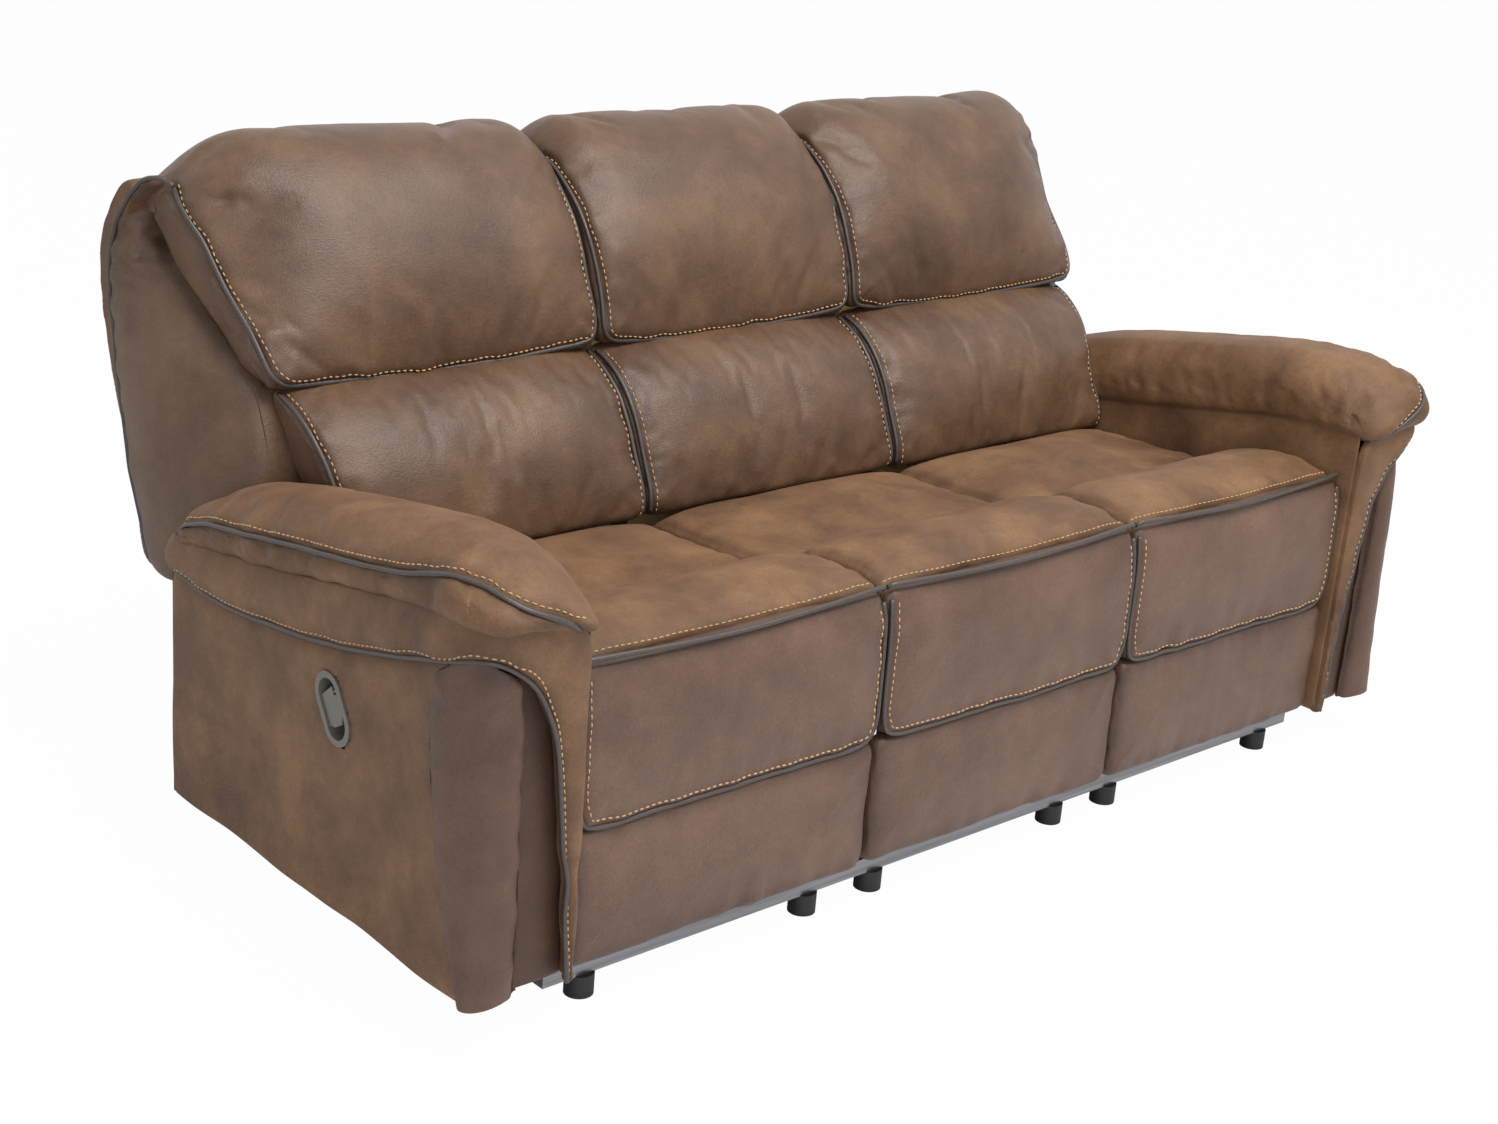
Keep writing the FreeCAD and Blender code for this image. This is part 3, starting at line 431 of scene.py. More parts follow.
def trim(name, piece, body, cords, stitches, free=0.0):
    # cords and stitch rows are given near the pad and snapped to its finished surface, after a free start
    tree = treeOf(piece)
    if cords:
        paths = []
        for cord in cords:
            given = smoothLine(cord, pipe["step"])
            path, facing = onSurface(tree, given, pipe["radius"] * pipe["sunk"])
            hold = np.clip(1.5 - np.arange(len(given)) * pipe["step"] / free, 0, 1)[:, None] if free else 0.0
            paths.append(relax(given * hold + path * (1 - hold), pipe["relaxed"]))
        dress(tubeAlong(name + "_piping", paths, pipe["radius"]), "piping", body)
    if stitches:
        rows = []
        for row in stitches:
            path, facing = onSurface(tree, smoothLine(row, 4.0))
            rows.append(onSurface(tree, relax(path, 3)))
        dress(stitchRow(name + "_stitches", rows), "thread", body)


def dress(piece, finish, body, replaced=()):
    piece.data.materials.clear()
    piece.data.materials.append(finishOf[finish])
    if replaced:
        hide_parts(*replaced)
    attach(piece, body)


def coverPad(piece, seams, finish, body, replaced):
    # the seams are stored on the mesh for the material: 1 on a seam, 0 away from it
    distance, run = seamDistances(pointsOf(piece), seams)
    layer = piece.data.attributes.new("seamNear", "FLOAT", "POINT")
    layer.data.foreach_set("value", np.exp(-(distance / seamShade["width"]) ** 2).astype(np.float32))
    dress(piece, finish, body, replaced)


def bodyOf(kind, name):
    return "root" if name == "middle" else f"{kind}_{name}"


def mirrored(side, points):
    # places and directions are written for the left side
    return [(x * -sides[side], y, z) for x, y, z in points]


def mirroredPairs(side, pairs):
    return [tuple(mirrored(side, pair)) for pair in pairs]


def makeMaterial(name):
    material = bpy.data.materials.new(name)
    material.use_nodes = True
    finishOf[name] = material
    nodes = material.node_tree.nodes
    return nodes, nodes["Principled BSDF"]


def wire(first, output, second, entry):
    first.id_data.links.new(first.outputs[output], second.inputs[entry])


def setInputs(node, values):
    for key, value in values.items():
        node.inputs[key].default_value = value


def placed(nodes, kind, **values):
    node = nodes.new(kind)
    for key, value in values.items():
        if key in node.inputs:
            node.inputs[key].default_value = value
        else:
            setattr(node, key, value)
    return node


def ramp(nodes, stops):
    node = nodes.new("ShaderNodeValToRGB")
    while len(node.color_ramp.elements) > 1:
        node.color_ramp.elements.remove(node.color_ramp.elements[-1])
    node.color_ramp.elements[0].position = stops[0][0]
    node.color_ramp.elements[0].color = (*stops[0][1], 1)
    for place, colour in stops[1:]:
        element = node.color_ramp.elements.new(place)
        element.color = (*colour, 1)
    return node


def colour(r, g, b):
    # written as seen on a screen, kept as linear light
    return tuple(((c / 255 + 0.055) / 1.055) ** 2.4 if c > 10 else c / 255 / 12.92 for c in (r, g, b))


def hideGrainGroup():
    # soft mottling, pores and a fine nap, all on the object's own coordinates
    group = bpy.data.node_groups.new("hideGrain", "ShaderNodeTree")
    for socket, size in (("Coarse", 9.0), ("Fine", 520.0)):
        group.interface.new_socket(socket, in_out="INPUT", socket_type="NodeSocketFloat").default_value = size
    for socket in ("Mottle", "Height", "Nap"):
        group.interface.new_socket(socket, in_out="OUTPUT", socket_type="NodeSocketFloat")
    nodes = group.nodes
    entry, leave = nodes.new("NodeGroupInput"), nodes.new("NodeGroupOutput")
    where = nodes.new("ShaderNodeTexCoord")
    clouds = placed(nodes, "ShaderNodeTexNoise", Detail=7.0, Roughness=0.68, Distortion=0.15)
    wire(where, "Object", clouds, "Vector")
    wire(entry, "Coarse", clouds, "Scale")
    pores = placed(nodes, "ShaderNodeTexVoronoi", feature="SMOOTH_F1", Smoothness=0.4)
    wire(where, "Object", pores, "Vector")
    wire(entry, "Fine", pores, "Scale")
    nap = placed(nodes, "ShaderNodeTexNoise", Detail=3.0, Roughness=0.7)
    double = placed(nodes, "ShaderNodeMath", operation="MULTIPLY")
    double.inputs[1].default_value = 0.45
    wire(entry, "Fine", double, 0)
    wire(double, 0, nap, "Scale")
    wire(where, "Object", nap, "Vector")
    height = placed(nodes, "ShaderNodeMath", operation="MULTIPLY_ADD")
    height.inputs[1].default_value = 0.6
    wire(pores, "Distance", height, 0)
    wire(nap, "Fac", height, 2)
    wire(clouds, "Fac", leave, "Mottle")
    wire(height, 0, leave, "Height")
    wire(nap, "Fac", leave, "Nap")
    return group


hideGrain = hideGrainGroup()


def finishSurface(nodes, shader, source, tone, height, roughness, bump, depth):
    # roughness wanders with the source's tone between its two limits, and the relief stands on its height
    rough = placed(nodes, "ShaderNodeMapRange")
    rough.inputs["To Min"].default_value, rough.inputs["To Max"].default_value = roughness
    wire(source, tone, rough, "Value")
    wire(rough, 0, shader, "Roughness")
    relief = placed(nodes, "ShaderNodeBump", Strength=bump, Distance=depth)
    wire(source, height, relief, "Height")
    wire(relief, "Normal", shader, "Normal")


seamShade = {"colour": (0.36, 0.32, 0.3, 1), "strength": 0.62, "width": 16.0}


def suedeMaterial(name, low, mid, high, roughness, sheen=0.16, spread=0.24, coarse=6.0, bump=0.5):
    nodes, shader = makeMaterial(name)
    grain = placed(nodes, "ShaderNodeGroup", node_tree=hideGrain)
    grain.inputs["Coarse"].default_value = coarse
    tone = ramp(nodes, [(0.5 - spread, colour(*low)), (0.5, colour(*mid)), (0.5 + spread, colour(*high))])
    wire(grain, "Mottle", tone, "Fac")
    nap = ramp(nodes, [(0.3, (0.80, 0.80, 0.80)), (0.7, (1.12, 1.1, 1.08))])
    wire(grain, "Nap", nap, "Fac")
    napped = placed(nodes, "ShaderNodeMix", data_type="RGBA", blend_type="MULTIPLY")
    napped.inputs[0].default_value = 1.0
    wire(tone, "Color", napped, 6)
    wire(nap, "Color", napped, 7)
    near = placed(nodes, "ShaderNodeAttribute", attribute_name="seamNear")
    shade = placed(nodes, "ShaderNodeMix", data_type="RGBA", blend_type="MULTIPLY")
    shade.inputs[7].default_value = seamShade["colour"]
    part = placed(nodes, "ShaderNodeMath", operation="MULTIPLY")
    part.inputs[1].default_value = seamShade["strength"]
    wire(near, "Fac", part, 0)
    wire(part, 0, shade, 0)
    wire(napped, 2, shade, 6)
    wire(shade, 2, shader, "Base Color")
    finishSurface(nodes, shader, grain, "Mottle", "Height", (roughness - 0.08, roughness + 0.12), bump, 0.0012)
    setInputs(shader, {"Sheen Weight": sheen, "Sheen Roughness": 0.45, "Sheen Tint": (*colour(190, 160, 150), 1),
                       "Specular IOR Level": 0.42})


def plainFinish(name, low, high, roughness, scale, bump, metallic=0.0, stretch=(1, 1, 1), coat=0.0, detail=6.0):
    nodes, shader = makeMaterial(name)
    where = nodes.new("ShaderNodeTexCoord")
    mapping = nodes.new("ShaderNodeMapping")
    mapping.inputs["Scale"].default_value = stretch
    wire(where, "Object", mapping, "Vector")
    clouds = placed(nodes, "ShaderNodeTexNoise", Scale=scale, Detail=detail, Roughness=0.6)
    wire(mapping, "Vector", clouds, "Vector")
    tone = ramp(nodes, [(0.3, colour(*low)), (0.7, colour(*high))])
    wire(clouds, "Fac", tone, "Fac")
    wire(tone, "Color", shader, "Base Color")
    finishSurface(nodes, shader, clouds, "Fac", "Fac", (roughness - 0.06, roughness + 0.1), bump, 0.001)
    setInputs(shader, {"Metallic": metallic, "Coat Weight": coat, "Coat Roughness": 0.25})


# One suede in lit and shaded copies, which is painted light and shade. suedeTop and suedeArm hold the lighter tan of
# the lit tops. suedeBack, suedeBolster and suedeFront hold darker tones for faces turned from the light, and
# suedeFront leans mauve as a painted sheen.
suedes = {  # low, middle and high tone as seen on a screen, and roughness
    "suedeBack": ((68, 48, 36), (96, 71, 53), (118, 91, 67), 0.4),
    "suedeBolster": ((68, 47, 37), (91, 66, 52), (108, 81, 64), 0.46),
    # the darkest copy: painted shade for the arm's front recess and for the rails under the seats
    "suedeRecess": ((54, 37, 28), (73, 52, 39), (88, 64, 48), 0.55),
    "suedeTop": ((84, 58, 36), (112, 81, 53), (136, 102, 70), 0.6),
    "suedeFront": ((78, 56, 45), (101, 76, 62), (118, 91, 75), 0.42),
    "suedeArm": ((82, 57, 38), (110, 80, 54), (134, 101, 70), 0.6),
}
suedeSheens = {"suedeBack": 0.05, "suedeBolster": 0.08, "suedeRecess": 0.05, "suedeFront": 0.1}
suedeSpreads = {"suedeTop": 0.17, "suedeArm": 0.17}
for name, tones in suedes.items():
    suedeMaterial(name, *tones, sheen=suedeSheens.get(name, 0.16), spread=suedeSpreads.get(name, 0.24))
plainFinishes = {  # low and high tone, roughness, scale and bump
    "piping": ((52, 45, 43), (84, 75, 70), 0.36, 420, 0.25),
    "thread": ((176, 132, 86), (226, 184, 134), 0.7, 900, 0.5),
    "paintedSteel": ((24, 24, 25), (44, 43, 43), 0.42, 240, 0.18),
    "railSteel": ((120, 120, 126), (150, 150, 156), 0.3, 4, 0.02),
    "zincSteel": ((128, 128, 126), (170, 168, 162), 0.38, 120, 0.08),
    "pine": ((176, 136, 88), (214, 178, 128), 0.62, 14, 0.2),
    "glideRubber": ((18, 18, 18), (36, 35, 34), 0.55, 300, 0.2),
    "handleGrey": ((96, 91, 85), (122, 116, 107), 0.4, 700, 0.12),
    "blackLining": ((14, 13, 13), (32, 30, 29), 0.9, 800, 0.6),
}
plainExtras = {
    "railSteel": {"metallic": 1.0, "stretch": (1, 60, 60), "detail": 2.0},
    "zincSteel": {"metallic": 1.0}, "paintedSteel": {"coat": 0.2}, "pine": {"stretch": (1, 9, 9)},
}
for name, values in plainFinishes.items():
    plainFinish(name, *values, **plainExtras.get(name, {}))

wordFinishes = {  # the first word that a kept CAD node's name holds decides its finish
    "seat_frame": "suedeRecess",  # rails wrapped in cloth, because they show in the open pose; they take the recess suede with its painted shade
    "frame_left": "pine", "frame_right": "pine", "frame_middle": "pine", "board": "pine", "base_frame": "railSteel",
    "glide_feet": "glideRubber", "release_handle": "handleGrey", "handle_cups": "handleGrey",
    "rear_dust_cover": "blackLining", "link": "zincSteel", "bracket": "zincSteel", "plates": "paintedSteel",
}
for node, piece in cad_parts.items():
    wanted = next((finish for word, finish in wordFinishes.items() if word in node), None)
    if wanted:
        for slot in piece.material_slots:
            slot.material = finishOf[wanted]
report("finishes made")


seatPad = {"half": 272.0, "rise": 8.0, "cap": 12.0, "edge": 14.0, "seamInset": 5.0, "held": 440.0,
           "reach": 60.0, "sewing": {"depth": 4.0, "width": 9, "gather": 1.8, "wave": 1.6}}
bibPad = {"half": 271.0, "low": 274.0, "high": 508.0, "front": -488.0, "rear": -456.0, "corner": 46.0,
          "topCorner": 18.0, "rise": 9.0, "reach": 50.0, "stitchesIn": 11.0,
          "sewing": {"depth": 3.0, "width": 8, "gather": 1.6, "wave": 1.8}}
lowPad = {"half": 272.0, "low": 74.0, "high": 276.0, "front": -486.0, "rear": -457.0, "corner": 20, "rise": 9.0,
          "reach": 55.0, "sewing": {"depth": 1.0, "width": 12, "gather": 1.4, "wave": 1.8}}


seatOutline = [  # y, z and radius of each corner
    (55, 352, 12), (57, 444, 16), (36, 457, 20), (-100, 462, 60), (-205, 470, 40), (-232, 462, 16), (-262, 492, 26),
    (-315, 519, 60), (-385, 528, 70), (-446, 520, 34), (-466, 506, 12), (-456, 496, 6), (-452, 470, 6),
    (-436, 455, 10), (-436, 352, 12),
]
seatSideSeam = [(50, 452), (-100, 459), (-200, 468), (-232, 463), (-270, 494), (-320, 517), (-385, 524), (-440, 517)]
seatCreases = {
    "left": [[(-470, -60, 458), (-440, -120, 462), (-430, -190, 468)], [(-760, -330, 520), (-740, -390, 526)]],
    "middle": [[(-140, -90, 458), (-60, -120, 460), (20, -150, 464)]],
    "right": [[(420, -60, 458), (520, -100, 460), (640, -90, 462)]],
}


def makeSeat(name):
    centre, half, body = seatCentres[name], seatPad["half"], bodyOf("seat", name)

    def shape(points):
        across = np.abs(points[:, 0] - centre) / half
        points[:, 2] -= np.where(points[:, 2] > 430, 6 * across ** 6, 0)
        return points
    seat = loftPad(f"seat_pad_{name}", seatOutline, centre - half, centre + half, seatPad["edge"], shape=shape)
    edge = half - seatPad["seamInset"]
    crease = smoothLine([(centre - edge, -233, 463), (centre, -236, 462), (centre + edge, -233, 463)], 6)
    frontSeam = smoothLine([(centre - edge - 4, -467, 508), (centre - 120, -469, 503), (centre, -470, 501),
                            (centre + 120, -469, 503), (centre + edge + 4, -467, 508)], 6)
    seams = [smoothLine([(centre + inset, y, z) for y, z in seatSideSeam], 6) for inset in (-edge, edge)]
    seams += [crease, frontSeam]
    swell(seat, seams, seatPad["rise"], seatPad["reach"], ends=0.1)
    blowUp(seat, seams, seatPad["cap"], lambda p: p[:, 2] < seatPad["held"], shrink=0.0)
    sewIn(seat, seams, int(centre / 100) + 21, **seatPad["sewing"])
    fold(seat, seatCreases[name], 2.4, 10)
    coverPad(seat, seams, "suedeTop", body, [f"seat_cushion_{name}"])
    trim(f"seat_{name}", seat, body, [], [smoothLine([(x, y + 10, z + 9) for x, y, z in frontSeam], 8)])
    edging = smoothLine([(centre - edge - 3, -468, 506), (centre - edge + 12, -476, 512), (centre - 130, -481, 507),
                         (centre, -483, 504), (centre + 130, -481, 507), (centre + edge - 12, -476, 512),
                         (centre + edge + 3, -468, 506)], 6)
    dress(tubeAlong(f"seat_{name}_front_piping", [edging], pipe["radius"]), "piping", body)


def makeBib(name):
    centre, half, low, high = seatCentres[name], bibPad["half"], bibPad["low"], bibPad["high"]
    left, right, body = centre - half, centre + half, bodyOf("footrest", name)
    corners = [(left, low, bibPad["corner"]), (right, low, bibPad["corner"]),
               (right, high - 6, bibPad["topCorner"]), (left, high - 6, bibPad["topCorner"])]

    def shape(points):
        # the top leans back over the seat's front edge
        lean = np.clip((points[:, 2] - 430) / 78, 0, 1)
        points[:, 1] += np.where(points[:, 1] < -465, 16 * lean ** 2, 0)
        return points
    bib = loftPad(f"bib_{name}", corners, bibPad["front"], bibPad["rear"], 9, across="y", shape=shape)
    leftHalf = [(left + 3, -478, high - 18), (left + 1, -485, 440), (left, -486, 360), (left + 1, -486, low + 50),
                (left + 8, -486, low + 18), (left + 34, -486, low + 3)]
    loop = leftHalf + [(centre, -486, low + 1)] + [(2 * centre - x, y, z) for x, y, z in leftHalf[::-1]]
    seam = smoothLine(loop, 6)
    topSeam = smoothLine([(left + 3, -474, high - 4), (centre, -474, high - 6), (right - 3, -474, high - 4)], 6)
    swell(bib, [seam, topSeam], bibPad["rise"], bibPad["reach"])
    sewIn(bib, [seam], int(centre / 100) + 31, **bibPad["sewing"])
    node = "bib_pad_middle" if name == "middle" else f"footrest_bib_pad_{name}"
    coverPad(bib, [seam, topSeam], "suedeFront", body, [node])
    narrow = 1 - bibPad["stitchesIn"] / half
    inner = [(centre + (x - centre) * narrow, y - 6, z + (11 if z < 300 else 0)) for x, y, z in loop]
    inner[0] = (inner[0][0], inner[0][1], inner[0][2] - 4)
    trim(f"bib_{name}", bib, body, [seam], [smoothLine(inner, 8)])


def makeLowPanel(name):
    centre, half, low, high, corner = (seatCentres[name], *(lowPad[key] for key in ("half", "low", "high", "corner")))
    corners = [(centre + side * half, z, corner) for side, z in ((-1, low), (1, low), (1, high), (-1, high))]
    panel = loftPad(f"low_panel_{name}", corners, lowPad["front"], lowPad["rear"], 12, across="y")
    inset = [(x + (4 if x < centre else -4), z + (4 if z < 150 else -4), radius) for x, z, radius in corners]
    rim = [(x, -483, z) for x, z in roundedOutline(inset, 8)]
    swell(panel, [rim], lowPad["rise"], lowPad["reach"])
    sewIn(panel, [rim], int(centre / 100) + 41, **lowPad["sewing"])
    node = "lower_panel_middle" if name == "middle" else f"footrest_lower_panel_{name}"
    coverPad(panel, [rim], "suedeFront", bodyOf("footrest", name), [node])


for name in seatCentres:
    makeSeat(name)
    makeBib(name)
    makeLowPanel(name)
report("seats, bibs and lower panels made")


headPad = {"rise": 14.0, "cap": 26.0, "edge": 18.0, "cornerDrop": 52.0, "roundWide": 130.0, "roundNarrow": 70.0,
           "reach": 70.0, "sag": 12.0, "sewing": {"depth": 4.5, "width": 9, "gather": 2.4, "pitch": 34, "wave": 2.0}}
headOutline = [  # y, z and radius of each corner, as in all outlines of the backs and arms
    (262, 712, 20), (196, 694, 26), (193, 735, 40), (212, 790, 60), (247, 868, 60), (300, 946, 60), (352, 998, 50),
    (400, 1012, 50), (452, 1000, 40), (482, 962, 24), (478, 930, 16), (392, 900, 20), (330, 800, 30),
]
headEdges = {  # x of each face, low and high
    "left": ((-868, -912), (-277, -279)), "middle": ((-274, -276), (274, 276)), "right": ((277, 279), (868, 912)),
}
headFront = [(192, 702), (204, 765), (230, 832), (266, 893), (312, 953), (352, 990), (384, 1000)]  # side seam's y, z
turnHeights, turnDepths = [700, 765, 832, 886, 950, 1000], [0, 28, 74, 78, 60, 40]  # the outer edge's turn back
backLimits = {"left": (-1000, -278.5), "middle": (-271.5, 271.5), "right": (278.5, 1000)}  # x that a back keeps to


def makeHead(name):
    (startLow, startHigh), (endLow, endHigh) = headEdges[name]
    centre, span, body = (startLow + endLow) / 2, endLow - startLow, bodyOf("back", name)
    outerStart, outerEnd = name == "left", name == "right"
    dropStart, dropEnd = (headPad["cornerDrop"] * (1.25 if outer else 0.75) for outer in (outerStart, outerEnd))
    wideStart, wideEnd = (headPad["roundWide" if outer else "roundNarrow"] for outer in (outerStart, outerEnd))

    def shape(points):
        x, y, z = points[:, 0].copy(), points[:, 1].copy(), points[:, 2].copy()
        high = np.clip((z - 700) / 250, 0, 1)
        start, end = startLow + (startHigh - startLow) * high, endLow + (endHigh - endLow) * high
        points[:, 0] = start + (end - start) * ((x - startLow) / span)
        # the upper corners round off, wider at the outer side
        fromStart, fromEnd = x - startLow, endLow - x
        fall = dropStart * np.clip(1 - fromStart / wideStart, 0, 1) ** 2
        fall += dropEnd * np.clip(1 - fromEnd / wideEnd, 0, 1) ** 2
        points[:, 2] -= fall * np.clip((z - 880) / 130, 0, 1)
        # the outer edge turns back towards the wing
        outer = fromStart if outerStart else fromEnd if outerEnd else np.full(len(x), 999.0)
        turn = np.clip(1 - outer / 210, 0, 1) ** 1.7 * np.interp(z, turnHeights, turnDepths)
        points[:, 1] += turn * np.clip((445 - y) / 60, 0, 1)
        # the lower edge hangs lowest in its middle
        across = np.clip(1 - (np.abs(x - centre) / (span / 2)) ** 2.5, 0, 1)
        points[:, 2] -= headPad["sag"] * across * np.clip((770 - z) / 70, 0, 1) * (y < 250)
        return points
    head = loftPad(f"head_pad_{name}", headOutline, startLow, endLow, headPad["edge"], shape=shape)

    def sideSeam(low, high, inward, drop, outer):
        line = []
        for y, z in headFront:
            rise = min(max((z - 700) / 250, 0), 1)
            upper = min(max((z - 880) / 130, 0), 1)
            away = np.interp(z, turnHeights, turnDepths) * min(max((445 - y) / 60, 0), 1) if outer else 0
            line.append((low + (high - low) * rise + inward * 5, y + away * 0.95, z - drop * upper))
        return line[:-2] + [(high + inward, 404, 955)] if outer else line
    startSeam = sideSeam(startLow, startHigh, 1, dropStart, outerStart)
    endSeam = sideSeam(endLow, endHigh, -1, dropEnd, outerEnd)
    bottom = [(startLow + 8, 193, 706), (startLow + span * 0.08, 191, 690), (startLow + span * 0.22, 189, 684),
              (startLow + span * 0.4, 188, 682), (startLow + span * 0.62, 188, 684), (startLow + span * 0.8, 189, 690),
              (startLow + span * 0.93, 191, 699), (endLow - 8, 193, 712)]
    around = startSeam[::-1][:-1] + bottom + endSeam[1:]
    seam, facing = onSurface(treeOf(head), smoothLine(around, 6))
    swell(head, [seam], headPad["rise"], headPad["reach"], ends=0.15)
    blowUp(head, [seam], headPad["cap"], lambda p: (p[:, 1] > 300) & (p[:, 2] < 930))
    sewIn(head, [seam], int(centre / 100) + 51, **headPad["sewing"])
    inward = -1 if name == "right" else 1
    edge = endHigh if name == "right" else startHigh
    puckers = [[(12, 372, 955), (60, 352, 968), (120, 330, 966)], [(10, 350, 930), (70, 330, 940), (140, 318, 934)],
               [(14, 395, 968), (40, 400, 995), (80, 398, 1004)]]
    fold(head, [[(edge + inward * x, y, z) for x, y, z in pucker] for pucker in puckers], 3.6, 9)
    pressIn(head, *backLimits[name])
    coverPad(head, [seam], "suedeBack", body, [f"head_cushion_{name}"])
    inner = []
    for x, y, z in around:
        inset = (10 if x < centre else -10) if abs(x - centre) > span * 0.4 else 0
        inner.append((x + inset, y - 3, z + (10 if z < 712 else 0)))
    trim(f"head_{name}", head, body, [seam], [smoothLine(inner, 8)])


lumbarPad = {"rise": 12.0, "cap": 24.0, "edge": 14.0, "outer": 826.0, "flare": 22.0, "reach": 70.0,
             "sewing": {"depth": 4.0, "width": 9, "gather": 2.2, "pitch": 30, "wave": 1.8}}
lumbarOutline = [
    (150, 452, 16), (54, 448, 22), (48, 482, 30), (78, 540, 60), (100, 592, 50), (130, 638, 50), (178, 676, 40),
    (238, 694, 20), (215, 640, 20),
]
lumbarFront = [(56, 458), (56, 490), (80, 545), (102, 596), (134, 640), (176, 674), (214, 688)]  # y, z of a side seam
lumbarEdges = {"left": (-lumbarPad["outer"], -277), "middle": (-273, 273), "right": (277, lumbarPad["outer"])}


def makeLumbar(name):
    start, end = lumbarEdges[name]
    centre, outer, body = (start + end) / 2, sides.get(name, 0), bodyOf("back", name)

    def shape(points):
        # the outer side flares out over the arm
        share = np.clip((points[:, 0] - centre) * outer / 274, 0, 1) ** 4
        points[:, 0] += outer * share * np.clip((points[:, 2] - 560) / 130, 0, 1.2) * lumbarPad["flare"]
        return points
    lumbar = loftPad(f"lumbar_pad_{name}", lumbarOutline, start, end, lumbarPad["edge"], shape=shape)
    tree = treeOf(lumbar)
    seams = []
    for x in (start + 4, end - 4):
        outward = lumbarPad["flare"] if abs(x) > 800 else 0
        path, facing = onSurface(tree, smoothLine(
            [(x + math.copysign(outward * min(max((z - 560) / 130, 0), 1), x), y, z) for y, z in lumbarFront], 6))
        seams.append(path)
    low = [np.array((x, 58, 456)) for x in np.arange(start + 10, end - 10, 8)]
    swell(lumbar, seams + [low], lumbarPad["rise"], lumbarPad["reach"], ends=0.15)
    blowUp(lumbar, seams + [low], lumbarPad["cap"], lambda p: (p[:, 1] > 200) | (p[:, 2] < 456))
    sewIn(lumbar, seams, int(centre / 100) + 61, **lumbarPad["sewing"])
    flare = lumbarPad["flare"] * np.clip((pointsOf(lumbar)[:, 2] - 560) / 130, 0, 1.2)
    lowLimit, highLimit = backLimits[name]
    outside = lumbarPad["outer"] + flare
    pressIn(lumbar, np.maximum(lowLimit, -outside), np.minimum(highLimit, outside))
    coverPad(lumbar, seams, "suedeBack", body, [f"lumbar_cushion_{name}"])
    rows = [smoothLine([(x + (10 if x < centre else -10), y - 3, z) for x, y, z in seam], 8) for seam in seams]
    trim(f"lumbar_{name}", lumbar, body, seams, rows)


wingPad = {"inner": 800.0, "outer": 943.0, "edge": 16.0, "rise": 8.0, "lean": 66.0, "reach": 45.0,
           "sewing": {"depth": 3.0, "width": 9, "gather": 2.0, "pitch": 34, "wave": 1.8}}
wingOutline = [
    (350, 372, 30), (262, 440, 30), (190, 520, 40), (205, 600, 60), (235, 670, 40), (262, 706, 40), (372, 783, 80),
    (440, 850, 50), (404, 940, 20), (430, 966, 24), (480, 934, 30), (518, 880, 50), (540, 806, 60), (533, 708, 60),
    (512, 613, 60), (478, 500, 60), (420, 372, 30),
]
wingFront = [(500, 150), (566, 190), (620, 213), (672, 238), (703, 257), (783, 378), (862, 478), (903, 482),
             (950, 420)]  # z and y, as in wingRear
wingRear = [(372, 400), (503, 470), (557, 492), (613, 512), (708, 533), (806, 540), (873, 512), (926, 474),
            (956, 440)]
wingCord = [  # from the head's cord over the top and down the rear, left side
    (-908, 396, 952), (-916, 410, 960), (-928, 434, 959), (-938, 464, 942), (-943, 490, 910), (-943, 514, 868),
    (-943, 536, 806), (-942, 531, 708), (-942, 510, 613), (-942, 490, 557), (-942, 466, 480), (-941, 425, 385),
]
wingPuckers = [
    [(-900, 476, 905), (-925, 490, 885), (-935, 500, 850)], [(-896, 470, 890), (-915, 470, 860), (-925, 480, 820)],
    [(-890, 440, 850), (-915, 455, 842), (-930, 480, 838)],
]


def makeWing(side):
    sign, body = sides[side], bodyOf("back", side)

    def shape(points):
        z = points[:, 2]
        ahead, behind = (np.interp(z, *zip(*line)) for line in (wingFront, wingRear))
        across = np.clip((points[:, 1] - ahead) / np.maximum(behind - ahead, 30), 0, 1)
        lean = wingPad["lean"] * (1 - np.sin(across * math.pi / 2) ** 0.75)
        points[:, 0] -= np.where(np.abs(points[:, 0]) > 880, sign * lean, 0)
        return points
    wing = loftPad(f"wing_pad_{side}", wingOutline, sign * wingPad["inner"], sign * wingPad["outer"], wingPad["edge"],
                   shape=shape)
    seams = [smoothLine(mirrored(side, wingCord), 6), smoothLine([(sign * 884, y, z) for z, y in wingFront], 6)]
    swell(wing, seams, wingPad["rise"], wingPad["reach"])
    sewIn(wing, [seams[0]], 71 + sign, **wingPad["sewing"])
    fold(wing, [mirrored(side, pucker) for pucker in wingPuckers], 4, 10)
    coverPad(wing, seams, "suedeBack", body, [f"back_wing_{side}"])
    trim(f"wing_{side}", wing, body, [seams[0]], [], free=60)


outerBack = {"edge": 10.0, "rise": 3.0, "reach": 60.0,
             "sewing": {"depth": 1.5, "width": 9, "gather": 1.0, "wave": 1.4}}
outerBackEdges = {"left": (-277, -936), "middle": (-273, 273), "right": (277, 936)}
outerBackOutline = [
    (402, 373, 8), (520, 850, 40), (470, 936, 20), (488, 950, 12), (520, 926, 40), (564, 872, 50), (583, 812, 60),
    (568, 700, 60), (442, 372, 12),
]
outerBackRim = [(440, 376), (560, 700), (574, 806), (556, 868), (515, 926), (490, 948)]  # y, z


def makeOuterBack(name):
    start, end = outerBackEdges[name]
    shell = loftPad(f"outer_back_{name}", outerBackOutline, start, end, outerBack["edge"])
    rims = [smoothLine([(x, y, z) for y, z in outerBackRim], 8) for x in (start, end)]
    swell(shell, rims, outerBack["rise"], outerBack["reach"])
    sewIn(shell, rims, 81 + len(name), **outerBack["sewing"])
    coverPad(shell, rims, "suedeArm", bodyOf("back", name), [f"back_shell_{name}"])


